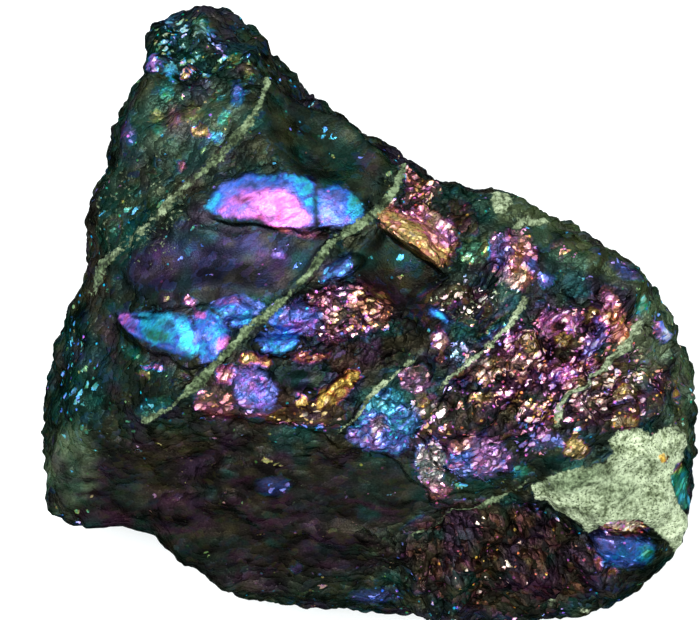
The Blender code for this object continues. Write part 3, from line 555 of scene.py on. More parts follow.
# What lies on the traced facets: the facet that holds it, oval, edge, film, how far it strays.
ON_TRACED = {
    "lens top": ("lens", 264, 182, 54, 12, -2, 0.5, "blue", 0.05),
    "lens tip": ("lens", 213, 207, 15, 12, 50, 0.5, "cyan", 0.04),
    "lens band": ("lens", 307, 196, 11, 24, 24, 0.5, "cyan", 0.1),
    "lens lip": ("lens pink", 280, 234, 16, 5, -12, 0.5, "salmon", 0.03),
    # The violet of the lens shade and the lens crease is painted shade on the lens.
    "lens shade": ("lens pink", 238, 212, 16, 7, 10, 0.7, "violet", 0.05),
    "lens crease shade": ("lens pink", 268, 208, 14, 4, -34, 0.7, "violet", 0.03),
    "end top": ("lens end", 336, 195, 22, 7, -18, 0.5, "blue", 0.04),
    "end cyan": ("lens end", 357, 212, 11, 20, 10, 0.5, "cyan", 0.04),
    "shard tip": ("shard", 130, 322, 14, 12, -30, 0.5, "violet", 0.06),
    "shard middle": ("shard", 160, 336, 22, 8, -20, 0.6, "teal", 0.05),
    "shard pink": ("shard end", 228, 345, 8, 8, -20, 0.5, "pink", 0.06),
    "shard magenta": ("shard end", 203, 317, 10, 5, -20, 0.5, "pink", 0.06),
    "ledge violet": ("blue ledge", 232, 304, 18, 5, 10, 0.6, "violet", 0.08),
    "bar cyan": ("blue bar", 286, 348, 16, 11, 30, 0.5, "cyan", 0.06),
    "bowl top": ("bowl", 246, 375, 18, 8, -14, 0.5, "violet", 0.06),
    "bowl foot": ("bowl", 251, 405, 18, 9, -10, 0.6, "violet", 0.08),
    "flame gold": ("flame", 414, 250, 40, 12, -38, 0.4, "amber", 0.06),
    "flame violet": ("flame", 414, 216, 20, 8, -10, 0.5, "pink", 0.12),
    "flame pink": ("flame", 443, 232, 11, 16, 0, 0.5, "pink", 0.12),
    "patch top": ("blue patch", 386, 400, 22, 13, 10, 0.5, "cyan", 0.06),
    "patch right": ("blue patch", 411, 427, 9, 14, 0, 0.5, "cyan", 0.06),
    "patch pink": ("blue patch", 379, 427, 8, 12, -30, 0.4, "orchid", 0.04),
    "patch foot": ("blue patch", 366, 441, 21, 8, -14, 0.5, "violet", 0.05),
    "ledge foot": ("violet ledge", 306, 330, 18, 7, -10, 0.6, "violet", 0.06),
    "almond orange": ("almond", 461, 442, 14, 7, 30, 0.5, "salmon", 0.08),
    "almond blue": ("almond", 468, 457, 10, 9, 0, 0.4, "blue", 0.03),
    "almond right": ("almond", 490, 455, 20, 14, 0, 0.5, "orchid", 0.06),
    "almond foot": ("almond", 462, 471, 14, 6, -10, 0.5, "periwinkle", 0.06),
    "oval violet": ("oval", 498, 260, 24, 9, 85, 0.5, "violet", 0.06),
    "oval gold": ("oval", 517, 280, 16, 14, 60, 0.5, "copper", 0.06),
    "oval salmon": ("oval", 519, 252, 20, 7, 80, 0.5, "salmon", 0.08),
    "oval blue": ("oval", 530, 267, 6, 9, 0, 0.6, "periwinkle", 0.06),
    "dart middle": ("dart", 439, 319, 8, 4, -30, 0.5, "cyan", 0.03),
    "strip top": ("strip", 603, 302, 11, 8, 60, 0.5, "pink", 0.06),
    "strip foot": ("strip", 622, 339, 10, 10, 0, 0.5, "copper", 0.03),
    "notch top": ("notch", 673, 466, 10, 8, 0, 0.5, "slate", 0.04),
    "glint top": ("right glint", 668, 318, 9, 6, 0, 0.6, "blue", 0.04),
    "glint left": ("right glint", 656, 328, 5, 12, 0, 0.6, "pink", 0.05),
    "foot left": ("foot oval", 603, 543, 15, 14, 0, 0.6, "periwinkle", 0.05),
    "foot right": ("foot oval", 648, 554, 9, 9, 0, 0.6, "teal", 0.06),
}
# Where the beads are pale, partly their own tone and partly a painted highlight: oval, and how
# pale.
PALE_AND_HIGHLIT = {
    "centre crumbs": (466, 300, 60, 26, 16, 0.6),
    "cream cluster": (438, 343, 13, 11, 20, 0.3),
    "blue glitter": (461, 354, 18, 14, 50, 0.3),
    "crumb slope": (434, 408, 24, 14, -14, 0.6),
    "silver": (431, 463, 16, 24, 0, 0.9),
    "patch pink": (379, 426, 6, 12, -30, 0.5),
    "almond": (470, 445, 16, 8, 0, 0.2),
    "foot crumbs": (623, 525, 22, 8, 0, 0.45),
    "right glint": (665, 335, 6, 7, 0, 0.5),
    "lobe green": (206, 29, 10, 10, 0, 0.25),
    "lower right": (500, 560, 95, 55, -10, 0.45),
    "cream worms": (508, 368, 40, 16, 10, 0.2),
    "left crumbs": (516, 346, 20, 14, 24, 0.1),
    "right crumbs": (610, 398, 52, 34, 10, 0.28),
    "rosette": (415, 379, 18, 14, 0, 0.2),
    "slope beads": (452, 212, 30, 22, 20, 0.3),
    "right edge": (684, 370, 16, 70, -4, 0.15),
    "lobe": (195, 35, 50, 26, -10, 0.2),
    "copper flakes": (330, 315, 26, 20, 0, 0.12),
}
# A row of gold beads: their middles, how far they reach and how high they stand.
GOLD_BEADS = [(301, 402), (320, 403), (323, 395), (331, 399), (333, 390), (341, 392), (343, 383),
              (351, 385), (351, 376), (359, 377)]
GOLD_BEAD_REACH = 5.5
GOLD_BEAD_RISE = 0.20
TRACED_EDGE = 2.0  # how soft a traced edge is, in sheet units
OUTLINE_REACH = 12.0  # how far outside a traced edge its distance is worked out

# The routes of thin dark cracks, half their width in sheet units, and how dark they are.
CRACK_WIDTH = 2.6
CRACK_DEPTH = 0.8
CRACKS = [
    [(318, 190), (316, 208), (317, 227)],
    [(236, 201), (252, 208), (264, 218), (276, 223)],
    [(286, 184), (300, 204), (310, 216)],
    [(255, 186), (262, 198), (280, 205)],
    [(136, 316), (160, 320), (178, 329)],
    [(130, 326), (150, 331), (168, 343)],
    [(378, 222), (400, 240), (420, 258)],
]

# The grey-green rock. How light each vein is, how much of its width the colour takes, and how well
# it covers.
VEIN_LOOKS = {
    "upper": (0.06, 1.05, 0.88),
    "upper end": (0, 1.1, 0.6),
    "long": (0.04, 0.9, 0.9),
    "short": (0.6, 0.95, 0.9),
    "little": (0.5, 0.8, 0.85),
    "right": (0.5, 1.1, 0.94),
    "low": (0.05, 0.8, 0.85),
}
# The speckled matrix patch: its outline, how light it is, and its lighter and darker parts: oval,
# how light.
MATRIX_OUTLINE = [
    (528, 489), (546, 477), (556, 469), (580, 467), (600, 465), (606, 455), (606, 441),
    (614, 433), (630, 427), (638, 430), (648, 436), (656, 429), (668, 427), (674, 435),
    (680, 447), (686, 457), (670, 461), (668, 480), (674, 499), (680, 509), (690, 515),
    (688, 535), (680, 551), (674, 553), (664, 547), (656, 535), (644, 523), (632, 517),
    (606, 516), (600, 520), (594, 527), (586, 530), (576, 522), (560, 515), (540, 508),
    (531, 502),
]
MATRIX_LIGHT = 0.68
MATRIX_TONES = {
    "top": (642, 444, 36, 16, 0, 1.05),
    "left tip": (536, 496, 18, 9, -20, 1.15),
    "upper left edge": (572, 478, 38, 12, 6, 0.1),
    "middle": (608, 488, 32, 18, 0, 0.38),
    "lower right": (664, 520, 26, 18, -30, 0.95),
}
GOLD_SPOT = (658, 457, 5, 5, 0)  # a facet with no rock on it
# Other spots of rock: oval, how light, how well they cover.
ROCK_SPOTS = {
    "rim triangle": (497, 209, 13, 11, -20, 0.55, 1),
    "rim band": (530, 227, 26, 6, -18, 0.35, 0.8),
    "rim spot": (575, 229, 12, 5, -30, 0.35, 0.6),
    "foot spot": (544, 598, 15, 5, 30, 0.45, 0.8),
    "foot spot right": (575, 601, 8, 3, 10, 0.7, 0.5),
    "centre specks": (462, 300, 56, 34, 0, 0.75, 0.24),
    "upper left dust": (150, 215, 60, 70, 20, 0.3, 0.22),
}

# The way the flakes lie: the stretch's oval, and the flakes' own turn in degrees from +X.
# Elsewhere they lie along PLAIN_LIE.
PLAIN_LIE = 44
LIES = {
    "copper flakes": (345, 312, 52, 34, 0, 4),
    "lower face": (300, 520, 260, 75, -4, 6),
    "lower right": (520, 560, 100, 60, 0, -58),
    "lens": (280, 205, 90, 32, 6, 26),
    "flame": (414, 240, 44, 22, -38, -34),
    "right crumbs": (622, 395, 40, 36, 0, 10),
}

# The material's cloudy textures: size in mm, detail, roughness.
TEXTURES = {
    "mottle": (0.9, 3.0, 0.6),
    "speck": (0.1, 2.0, 0.6),
    "streak": (0.22, 3.0, 0.65),
    "fold": (0.42, 2.0, 0.55),
    "warp": (0.25, 1.0, 0.5),
    "pit": (0.15, 2.0, 0.6),
    "fleck": (0.2, 3.0, 0.6),
    "blotch": (0.8, 3.0, 0.6),
    "fray": (0.28, 3.0, 0.7),
}
BEAD_SIZE = 0.38 * MM
BEAD_STRETCH = (0.6, 1.1, 1.0)  # along the lie of the flakes, across it, and up
FOLD_STRETCH = (0.4, 1.0, 1.0)
WARP = 0.26 * MM  # how far the beads' edges are bent
BEAD_TILT = 0.5
BEAD_DOME = -1.6  # how far a bead falls from its middle
BUMP_HEIGHT = 0.14 * MM
CHIP_DRAW = 0.4  # how far a chip's beads shine together
CLUSTERING = 1.4  # how far the beads gather in clusters
CORE_HIGHLIGHT = 0.8  # how far a bead's middle pales: a painted highlight
BEAD_WASH = 0.18  # how far a whole shining bead pales, partly a painted highlight
GLOW_HIGHLIGHT = 0.03  # how far an even facet pales: a painted highlight
MOST_WASH = 0.9
MOTTLE_FILM = 0.12  # how far the mottle shifts the film
FOLD_FILM = 0.24  # how far the folds of an even facet shift its film
WEAK_SHEEN = 0.05
# Small glints between the beads: their share of the ground, what the shining share adds to it, and
# how far their film strays.
GLINT_SIZE = 0.18 * MM
PLAIN_GLINTS = 0.012
GLINTS = 0.14
GLINT_FILM = 0.28
# The pale tones that the painted highlights and the pale beads take.
PALE_TONES = [(0.2, (255, 228, 226)), (0.5, (252, 240, 220)), (0.8, (226, 238, 222))]
PALE_ROCK = [(0.36, (84, 96, 66)), (0.44, (128, 142, 108)), (0.5, (160, 174, 140)),
             (0.6, (200, 214, 178))]
DULL_ROCK = [(0.38, (30, 40, 27)), (0.5, (80, 97, 68)), (0.62, (128, 148, 112))]
PEPPER = [(0.0, (60, 68, 50)), (1.0, (255, 255, 255))]
BLOTCHES = 0.6  # the blotches' share of the rock's pattern, beside the flecks
FRAY = 2.2  # how ragged the rock's edges are
ROCK_SHADE = 0.92
EDGE_TINT = (0.12, 0.13, 0.13)

FLOOR_SIDE = 4.0
FLOOR_GLOW = 0.15
FLOOR_GAP = 0.00002  # under the stone, so that the two flat faces don't meet
WORLD_LIGHT = 1.0

# The soft lights: place, side and brightness.
LAMPS = {
    "overhead": ((-0.06, 0.12, 0.58), 0.22, 15.0),
    "soft box": ((0.0, 0.0, 0.80), 0.9, 1.8),
    "lower right": ((0.30, -0.26, 0.28), 0.08, 6.0),
}

CAMERA_DISTANCE = 0.55
CAMERA_CLIP = (0.01, 20.0)
FRAME_WIDTH = 700.0
FRAME_MIDDLE = (350.0, 310.0)
SENSOR = 36.0


def smoothstep(low, high, value):
    t = np.clip((value - low) / (high - low), 0.0, 1.0)
    return t * t * (3.0 - 2.0 * t)


def fade(low, high, value):
    """1 up to the low value, 0 from the high one on."""
    return 1.0 - smoothstep(low, high, value)


def lay(cover, *layers):
    """Lays a value over each layer, in place, as far as the cover goes."""
    for layer, value in layers:
        layer += (value - layer) * cover


def linear(colour):
    """A screen colour from 0 to 255 as linear light."""
    part = np.array(colour, dtype=float) / 255.0
    return np.where(part < 0.04045, part / 12.92, ((part + 0.055) / 1.055) ** 2.4)


def hashed(cells, seed):
    """A repeatable number from 0 to 1 for each row of whole numbers."""
    n = cells.astype(np.int64)
    h = n[..., 0] * 374761393 + n[..., 1] * 668265263 + n[..., 2] * 2147483647 + seed * 974634777
    h = (h ^ (h >> 13)) * 1274126177
    h = h ^ (h >> 16)
    return (h & 0xFFFFFF) / float(0xFFFFFF)


def noise(points, size, seed):
    """Smooth noise from -1 to 1, with hills about one size across."""
    place = points / size
    base = np.floor(place)
    part = place - base
    part = part * part * (3.0 - 2.0 * part)
    total = np.zeros(len(points))
    for corner in itertools.product((0, 1), repeat=3):
        weight = np.where(corner, part, 1.0 - part).prod(axis=-1)
        total += weight * hashed(base + corner, seed)
    return 2.0 * total - 1.0


def turned_frames():
    """FRAME_COUNT sets of three square axes, each turned its own way."""
    random = np.random.default_rng(11)
    return np.array([np.linalg.qr(random.normal(size=(3, 3)))[0] for _ in range(FRAME_COUNT)])


def grains(points, size, seed):
    """The upper surface of a heap of cubes turned every way, one for each jittered cell.

    Gives the height, about 1 on a corner that stands up and 0 in a deep crease, and a repeatable
    number from 0 to 1 for each cube's face.
    """
    frames = turned_frames()
    place = points / size
    base = np.floor(place)
    top = np.full(len(points), -9.0)
    face = np.zeros(len(points))
    for step in itertools.product((-1, 0, 1), repeat=3):
        cell = base + step
        jitter = np.stack([hashed(cell, seed + axis) for axis in range(3)], axis=-1)
        turn = (hashed(cell, seed + 3) * (FRAME_COUNT - 0.01)).astype(int)
        away = np.einsum("nij,nj->ni", frames[turn], place - cell - jitter)
        lot = hashed(cell, seed + 4)
        height = 0.5 * lot - np.abs(away).max(axis=-1)
        higher = height > top
        side = np.abs(away).argmax(axis=-1) * 2 + (away.sum(axis=-1) > 0)
        face = np.where(higher, (lot * 97.0 + side * 0.381966) % 1.0, face)
        top = np.where(higher, height, top)
    return top + 0.6, face


def sheet_to_world(u, v):
    """X and Y in metres, from the lump's middle."""
    return (u - CORE[0]) * UNIT, (CORE[1] - v) * UNIT


def on_sheet(points):
    return points[:, 0] / UNIT + CORE[0], CORE[1] - points[:, 1] / UNIT


def facet_planes():
    """Each facet's outward normal and its distance from the lump's middle."""
    normals, distances = [], []
    for u, v, height, facing, lean in FACETS.values():
        x, y = sheet_to_world(u, v)
        facing, lean = math.radians(facing), math.radians(lean)
        normal = np.array([math.sin(lean) * math.cos(facing), math.sin(lean) * math.sin(facing),
                           math.cos(lean)])
        normals.append(normal)
        distances.append(normal @ np.array([x, y, height * MM - CORE_HEIGHT]))
    return np.array(normals), np.array(distances)


def facet_reach(directions):
    """How far the broad facets lie from the middle along each direction, edges slightly round."""
    normals, distances = facet_planes()
    nearness = np.maximum(directions @ normals.T, 0.0) / distances
    return (nearness ** FACET_SHARPNESS).sum(axis=-1) ** (-1.0 / FACET_SHARPNESS)


def facet_normals(points):
    """The outward direction of the broad facets at each point."""
    normals, distances = facet_planes()
    unit = points / np.linalg.norm(points, axis=1, keepdims=True)
    nearness = np.maximum(unit @ normals.T, 0.0) / distances
    blended = (nearness ** FACET_SHARPNESS) @ normals
    return blended / np.linalg.norm(blended, axis=1, keepdims=True)


def facet_outline(angles):
    """How far the broad facets reach at each angle seen from above."""
    grid = np.linspace(-math.pi, math.pi, 361)
    rise = np.radians(np.linspace(-75.0, 75.0, 61))
    turn, lift = np.meshgrid(grid, rise)
    directions = np.stack([np.cos(lift) * np.cos(turn), np.cos(lift) * np.sin(turn),
                           np.sin(lift)], axis=-1)
    reach = (facet_reach(directions) * np.cos(lift)).max(axis=0)
    return np.interp(angles, grid, reach, period=2.0 * math.pi)


def outline_reach(angles):
    """How far the outline lies from the middle at each angle seen from above."""
    points = np.array([sheet_to_world(u, v) for u, v in OUTLINE])
    turn = np.arctan2(points[:, 1], points[:, 0])
    reach = np.hypot(points[:, 0], points[:, 1])
    order = np.argsort(turn)
    return np.interp(angles, turn[order], reach[order], period=2.0 * math.pi)


def waist_reach(angles):
    """The outline without its narrow lumps, which the sides follow above and below the rim."""
    grid = np.radians(np.arange(-180.0, 181.0))
    steps = np.radians(np.arange(-LUMP_SPAN_DEG, LUMP_SPAN_DEG + 1.0))
    lowest = np.min([outline_reach(grid + step) for step in steps], axis=0)
    rows = [np.interp(grid + step, grid, lowest, period=2.0 * math.pi) for step in steps]
    return np.interp(angles, grid, np.mean(rows, axis=0), period=2.0 * math.pi)


def spread_level(points, factor):
    """The points moved in or out by a factor each, level with the sheet."""
    return points * np.stack([factor, factor, np.ones_like(factor)], axis=-1)


def fit_to_outline(points):
    """Moves the points in or out level with the sheet, so that the rim follows the outline.

    The outline's narrow lumps stand out in a band along the rim, which wanders up and down.
    """
    angles = np.arctan2(points[:, 1], points[:, 0])
    facets = facet_outline(angles)
    waist = waist_reach(angles)
    share = np.clip(np.hypot(points[:, 0], points[:, 1]) / facets, 0.0, 1.0)
    rim = np.stack([np.cos(angles), np.sin(angles), np.zeros_like(angles)], axis=-1)
    height = points[:, 2] - RIM_HEIGHT - RIM_WANDER * noise(rim, 0.35, 71)
    band = share ** 6 * np.exp(-(height / RIM_BAND) ** 2)
    factor = 1.0 + (waist / facets - 1.0) * smoothstep(0.0, 0.9, share)
    factor += (outline_reach(angles) - waist) / facets * band
    return spread_level(points, factor)


def hold_outline(points):
    """Takes the finished surface back to the outline where its grains fall short of it."""
    angles = np.arctan2(points[:, 1], points[:, 0])
    share = np.hypot(points[:, 0], points[:, 1]) / outline_reach(angles)
    centres = np.radians(np.arange(-180.0, 180.0))
    fullest = np.zeros(len(centres))
    np.maximum.at(fullest, (np.round(np.degrees(angles)).astype(int) + 180) % 360, share)
    for _ in range(SHORTFALL_SMOOTHING):
        fullest = (np.roll(fullest, 1) + 2.0 * fullest + np.roll(fullest, -1)) / 4.0
    fullest = np.interp(angles, centres, fullest, period=2.0 * math.pi)
    factor = 1.0 + (1.0 / fullest - 1.0) * np.clip(share / fullest, 0.0, 1.0) ** 4
    return spread_level(points, factor)


def along_route(u, v, route):
    """Distance from a route, which side of it, and distance along it from its nearer end.

    All in sheet units. The side is 1 on the right of the route's way seen from above, or -1.
    """
    nearest = np.full(len(u), 1e9)
    side = np.zeros(len(u))
    passed = np.zeros(len(u))
    start = 0.0
    for (u0, v0), (u1, v1) in zip(route, route[1:]):
        length = math.hypot(u1 - u0, v1 - v0)
        du, dv = (u1 - u0) / length, (v1 - v0) / length
        along = np.clip((u - u0) * du + (v - v0) * dv, 0.0, length)
        away = np.hypot(u - u0 - along * du, v - v0 - along * dv)
        across = (v - v0) * du - (u - u0) * dv
        closer = away < nearest
        nearest = np.where(closer, away, nearest)
        side = np.where(closer, np.sign(across), side)
        passed = np.where(closer, start + along, passed)
        start += length
    return nearest, side, np.minimum(passed, start - passed)


def in_oval(u, v, centre_u, centre_v, half_length, half_width, turn):
    """0 in the middle of a turned oval, 1 on its edge."""
    turn = math.radians(turn)
    along = (u - centre_u) * math.cos(turn) - (v - centre_v) * math.sin(turn)
    across = (u - centre_u) * math.sin(turn) + (v - centre_v) * math.cos(turn)
    return np.hypot(along / half_length, across / half_width)


def ovals(u, v, table):
    """For each oval of a table: in_oval of every place, and what else the table says of it."""
    for centre_u, centre_v, half_length, half_width, turn, *rest in table.values():
        yield in_oval(u, v, centre_u, centre_v, half_length, half_width, turn), rest


def bead_distances(u, v):
    """For each of the gold beads: 0 in its middle, 1 on its edge."""
    for centre_u, centre_v in GOLD_BEADS:
        yield np.hypot(u - centre_u, v - centre_v) / GOLD_BEAD_REACH


def inside_outline(u, v, corners):
    """True where a sheet place lies inside a closed outline."""
    inside = np.zeros(len(u), dtype=bool)
    for (u0, v0), (u1, v1) in zip(corners, corners[1:] + corners[:1]):
        crosses = (v0 > v) != (v1 > v)
        if v1 != v0:
            inside ^= crosses & (u < (u1 - u0) * (v - v0) / (v1 - v0) + u0)
    return inside


def outline_depth(u, v, corners):
    """How deep a sheet place lies inside a closed outline, negative outside, in sheet units."""
    low = np.min(corners, axis=0) - OUTLINE_REACH
    high = np.max(corners, axis=0) + OUTLINE_REACH
    near = (u > low[0]) & (u < high[0]) & (v > low[1]) & (v < high[1])
    away, _, _ = along_route(u[near], v[near], corners + corners[:1])
    depth = np.full(len(u), -OUTLINE_REACH)
    depth[near] = np.where(inside_outline(u[near], v[near], corners), away, -away)
    return depth


def wandered(u, v):
    """The sheet place with broad and narrow wandering, so that no form has a drawn edge."""
    place = np.stack([u, v, np.zeros_like(u)], axis=-1)
    for size, sway in WANDER:
        u = u + sway * noise(place, size, 41)
        v = v + sway * noise(place, size, 57)
    return u, v


def swayed(u, v, part):
    """The sheet place with a part of the wandering, for what has to stay nearer its place."""
    wide_u, wide_v = wandered(u, v)
    return u + part * (wide_u - u), v + part * (wide_v - v)


def relief(u, v):
    """The named forms of the upper side, in metres along +Z."""
    height = np.zeros(len(u))
    wide = wandered(u, v)
    for oval, (rise, flank) in ovals(*wide, FORMS):
        height += rise * fade(1.0 - flank, 1.1, oval)
    for drop, reach, route in LEDGES.values():
        away, side, inward = along_route(*wide, route)
        step = fade(0.0, reach, away) * smoothstep(-2.0, 2.0, side * away)
        height -= drop * step * smoothstep(0.0, LEDGE_TAPER, inward)
    near = swayed(u, v, TRACED_SWAY)
    for *_, rise, corners in TRACED.values():
        height += rise * smoothstep(*TRACED_RISE_EDGE, outline_depth(*near, corners))
    for away in bead_distances(*near):
        height += GOLD_BEAD_RISE * fade(0.2, 1.1, away)
    near = swayed(u, v, VEIN_SWAY)
    for half_width, rise, route in VEINS.values():
        away, _, _ = along_route(*near, route)
        height += VEIN_RISE * rise * fade(0.35 * half_width, 1.3 * half_width, away)
    return height * MM


def grain_share(u, v):
    """How much of the blocky grain the upper side takes at each place."""
    share = np.full(len(u), PLAIN_GRAIN)
    for oval, (amount,) in ovals(u, v, GRAINY):
        lay(fade(*GRAIN_EDGE, oval), (share, amount))
    near = swayed(u, v, TRACED_SWAY)
    for *_, amount, _, corners in TRACED.values():
        lay(smoothstep(*TRACED_GRAIN_EDGE, outline_depth(*near, corners)), (share, amount))
    return share


def shape(directions):
    """Moves each point of the sphere to its place on the lump, from the lump's middle.

    Gives the places, the sheet places, how far each point looks up, the grain's share, and the
    height and face number of the fine grains.
    """
    body = directions * facet_reach(directions)[:, None]
    normals = facet_normals(body)
    upper = smoothstep(0.05, 0.35, normals[:, 2])
    points = fit_to_outline(body)
    u, v = on_sheet(points)
    share = grain_share(u, v) * upper + SIDE_GRAIN * (1.0 - upper)
    seed = GRAIN_SEED
    steep = fade(0.2, 0.6, np.abs(normals[:, 2]))
    for size, rise in GRAINS.values():
        height, _ = grains(points, size * MM, seed)
        bump = height - 0.5 - SIDE_SINK * steep
        points = points + normals * (bump * rise * MM * share)[:, None]
        seed += SEED_STEP
    size, rise = BACK_STEPS
    height, _ = grains(points, size * MM, BACK_SEED)
    lower = smoothstep(0.2, 0.6, -normals[:, 2]) - 0.7 * smoothstep(0.9, 0.98, -normals[:, 2])
    points = points + normals * ((height - 0.5) * rise * MM * lower)[:, None]
    points[:, 2] += relief(u, v) * upper
    fine = {}
    for name, (size, rise) in FINE_GRAINS.items():
        height, face = grains(points, size * MM, seed)
        points = points + normals * ((height - 0.5) * rise * MM * share)[:, None]
        fine[name] = (height, face)
        seed += SEED_STEP
    return hold_outline(points), u, v, upper, share, fine


def jagged(u, v, share, fine):
    """The sheet place that a whole chip takes its colours from, so patches end on its edges."""
    lot, bit = fine["chips"][1], fine["bits"][1]
    reach = JAG * np.clip(share - 0.1, LEAST_JAG, 1.0)
    return [place + reach * ((lot * by_chip % 1.0 - 0.5) + 0.5 * (bit * by_bit % 1.0 - 0.5))
            for place, (by_chip, by_bit) in zip((u, v), JAG_LOTS)]


def tarnish(u, v, upper):
    """The film, how far it strays, the share of shining facets and the even glow at each place."""
    film = np.full(len(u), FILM_PLACE[PLAIN_FILM])
    spread = np.full(len(u), PLAIN_SPREAD)
    share = np.full(len(u), PLAIN_SHARE)
    glow = np.zeros(len(u))
    places = swayed(u, v, PATCH_SWAY)
    for oval, (edge, colour, stray, shining, even) in ovals(*places, PATCHES):
        lay(fade(*FILM_EDGE, oval) * upper, (film, FILM_PLACE[colour]), (spread, stray))
        lay(fade(1.0 - edge, 1.05, oval) * upper, (share, shining), (glow, even))
    near = swayed(u, v, TRACED_SWAY)
    held = {}
    for name, (colour, stray, shining, even, _, _, corners) in TRACED.items():
        depth = outline_depth(*near, corners)
        held[name] = smoothstep(-3.0 * TRACED_EDGE, -2.0 * TRACED_EDGE, depth) * upper
        inside = smoothstep(-0.5 * TRACED_EDGE, 0.5 * TRACED_EDGE, depth) * upper
        lay(held[name], (film, FILM_PLACE[colour]), (spread, stray))
        lay(inside, (share, shining), (glow, even))
    for name, *oval, edge, colour, stray in ON_TRACED.values():
        inside = fade(1.0 - edge, 1.0 + 0.4 * edge, in_oval(*near, *oval)) * held[name]
        lay(inside, (film, FILM_PLACE[colour]), (spread, stray))
    for away in bead_distances(*near):
        lay(fade(0.6, 0.95, away) * upper, (film, FILM_PLACE["straw"]), (spread, 0.0), (glow, 1.0))
    return film, spread, share, glow


def paleness_and_highlight(u, v):
    """How pale the beads are at each place, partly a painted highlight."""
    pale = [amount * fade(*PALE_EDGE, oval) for oval, (amount,) in ovals(u, v, PALE_AND_HIGHLIT)]
    return np.max(pale, axis=0)


def cracks(u, v):
    """1 along the thin cracks, 0 away from them."""
    near = swayed(u, v, CRACK_SWAY)
    aways = [along_route(*near, route)[0] for route in CRACKS]
    return np.max([fade(0.8, CRACK_WIDTH, away) for away in aways], axis=0)


def ground(u, v, points):
    """The dark ground's colour at each place, in linear light."""
    wide_u, wide_v = wandered(u, v)
    colour = np.tile(linear(GROUNDS[PLAIN_GROUND]), (len(u), 1))
    above = smoothstep(-ZONE_FADE, 0.0, points[:, 2])
    for oval, (tone,) in ovals(wide_u, wide_v, GROUND_ZONES):
        lay((fade(*ZONE_EDGE, oval) * above)[:, None], (colour, linear(GROUNDS[tone])))
    for tone, (size, most, seed) in MOTTLES.items():
        share = most * smoothstep(0.05, 0.6, noise(points, size * MM, seed))
        lay(share[:, None], (colour, linear(tone)))
    along, across = STREAK
    drawn = np.stack([u / along, wide_v / across, np.zeros_like(u)], axis=-1)
    inside = fade(*STREAK_EDGE, in_oval(u, v, *STREAKY))
    for tone, seed in STREAK_TONES.items():
        share = smoothstep(0.05, 0.75, noise(drawn, 1.0, seed)) * inside
        lay(share[:, None], (colour, linear(tone)))
    return colour


def lie(u, v):
    """Which way the flakes lie at each place, in radians."""
    turns = np.full(len(u), math.radians(PLAIN_LIE))
    for oval, (own,) in ovals(*wandered(u, v), LIES):
        turns[oval < 1.0] = math.radians(own)
    return -turns


def rock(u, v, upper):
    """How much grey-green rock covers each place, and how light it is."""
    near, wide = swayed(u, v, VEIN_SWAY), wandered(u, v)
    cover = np.zeros(len(u))
    light = np.zeros(len(u))
    place = np.stack([u, v, np.zeros_like(u)], axis=-1)
    thickness = 0.85 + 0.5 * noise(place, 18.0, 83)
    patchy = 0.35 * noise(place, 14.0, 84)
    for name, (half_width, _, route) in VEINS.items():
        pale, broad, strength = VEIN_LOOKS[name]
        width = broad * half_width * thickness
        inside = fade(0.35 * width, 1.1 * width, along_route(*near, route)[0])
        lay(inside, (light, pale))
        cover = np.maximum(cover, inside * (strength + patchy))
    for oval, (pale, most) in ovals(*wide, ROCK_SPOTS):
        inside = fade(*SPOT_EDGE, oval)
        lay(inside, (light, pale))
        cover = np.maximum(cover, most * inside)
    depth = outline_depth(*swayed(u, v, MATRIX_SWAY), MATRIX_OUTLINE)
    inside = smoothstep(*MATRIX_EDGE, depth)
    tone = np.full(len(u), MATRIX_LIGHT)
    for oval, (pale,) in ovals(*wide, MATRIX_TONES):
        lay(fade(*TONE_EDGE, oval), (tone, pale))
    lay(inside, (light, tone))
    bare = smoothstep(0.8, 1.1, in_oval(*swayed(u, v, TRACED_SWAY), *GOLD_SPOT))
    return np.maximum(cover, inside) * bare * upper, light


def store(mesh, name, values):
    """Keeps a number or a colour for each of the mesh's points."""
    kind = "FLOAT" if values.ndim == 1 else "FLOAT_COLOR"
    if values.ndim == 2:
        values = np.column_stack([values, np.ones(len(values))])
    attribute = mesh.attributes.new(name, kind, "POINT")
    attribute.data.foreach_set("value" if kind == "FLOAT" else "color", values.ravel())


def crowded_sphere():
    """A sphere of triangles with its points drawn together on its upper side."""
    bpy.ops.mesh.primitive_ico_sphere_add(subdivisions=SPHERE_LEVELS, radius=1.0)
    sphere = bpy.context.object
    flat = np.empty(len(sphere.data.vertices) * 3)
    sphere.data.vertices.foreach_get("co", flat)
    directions = flat.reshape(-1, 3)
    directions /= np.linalg.norm(directions, axis=1, keepdims=True)
    level = math.sqrt(1.0 - CROWDING ** 2)
    below = 1.0 + CROWDING * directions[:, 2]
    directions[:, :2] *= (level / below)[:, None]
    directions[:, 2] = (directions[:, 2] + CROWDING) / below
    return sphere, directions


def cut_flat(mesh, floor):
    """Cuts the mesh flat at a height and closes the cut."""
    solid = bmesh.new()
    solid.from_mesh(mesh)
    geometry = solid.verts[:] + solid.edges[:] + solid.faces[:]
    bmesh.ops.bisect_plane(solid, geom=geometry, plane_co=(0, 0, floor), plane_no=(0, 0, -1),
                           clear_outer=True)
    rim = [edge for edge in solid.edges if edge.is_boundary]
    bmesh.ops.triangle_fill(solid, edges=rim, use_beauty=True, normal=(0, 0, -1))
    bmesh.ops.recalc_face_normals(solid, faces=solid.faces)
    solid.to_mesh(mesh)
    solid.free()


def thin_out(ore, most):
    """Takes the object's mesh down to about so many triangles."""
    thin = ore.modifiers.new("thin", "DECIMATE")
    thin.ratio = most / len(ore.data.polygons)
    evaluated = ore.evaluated_get(bpy.context.evaluated_depsgraph_get())
    thinned = bpy.data.meshes.new_from_object(evaluated)
    ore.modifiers.clear()
    ore.data = thinned


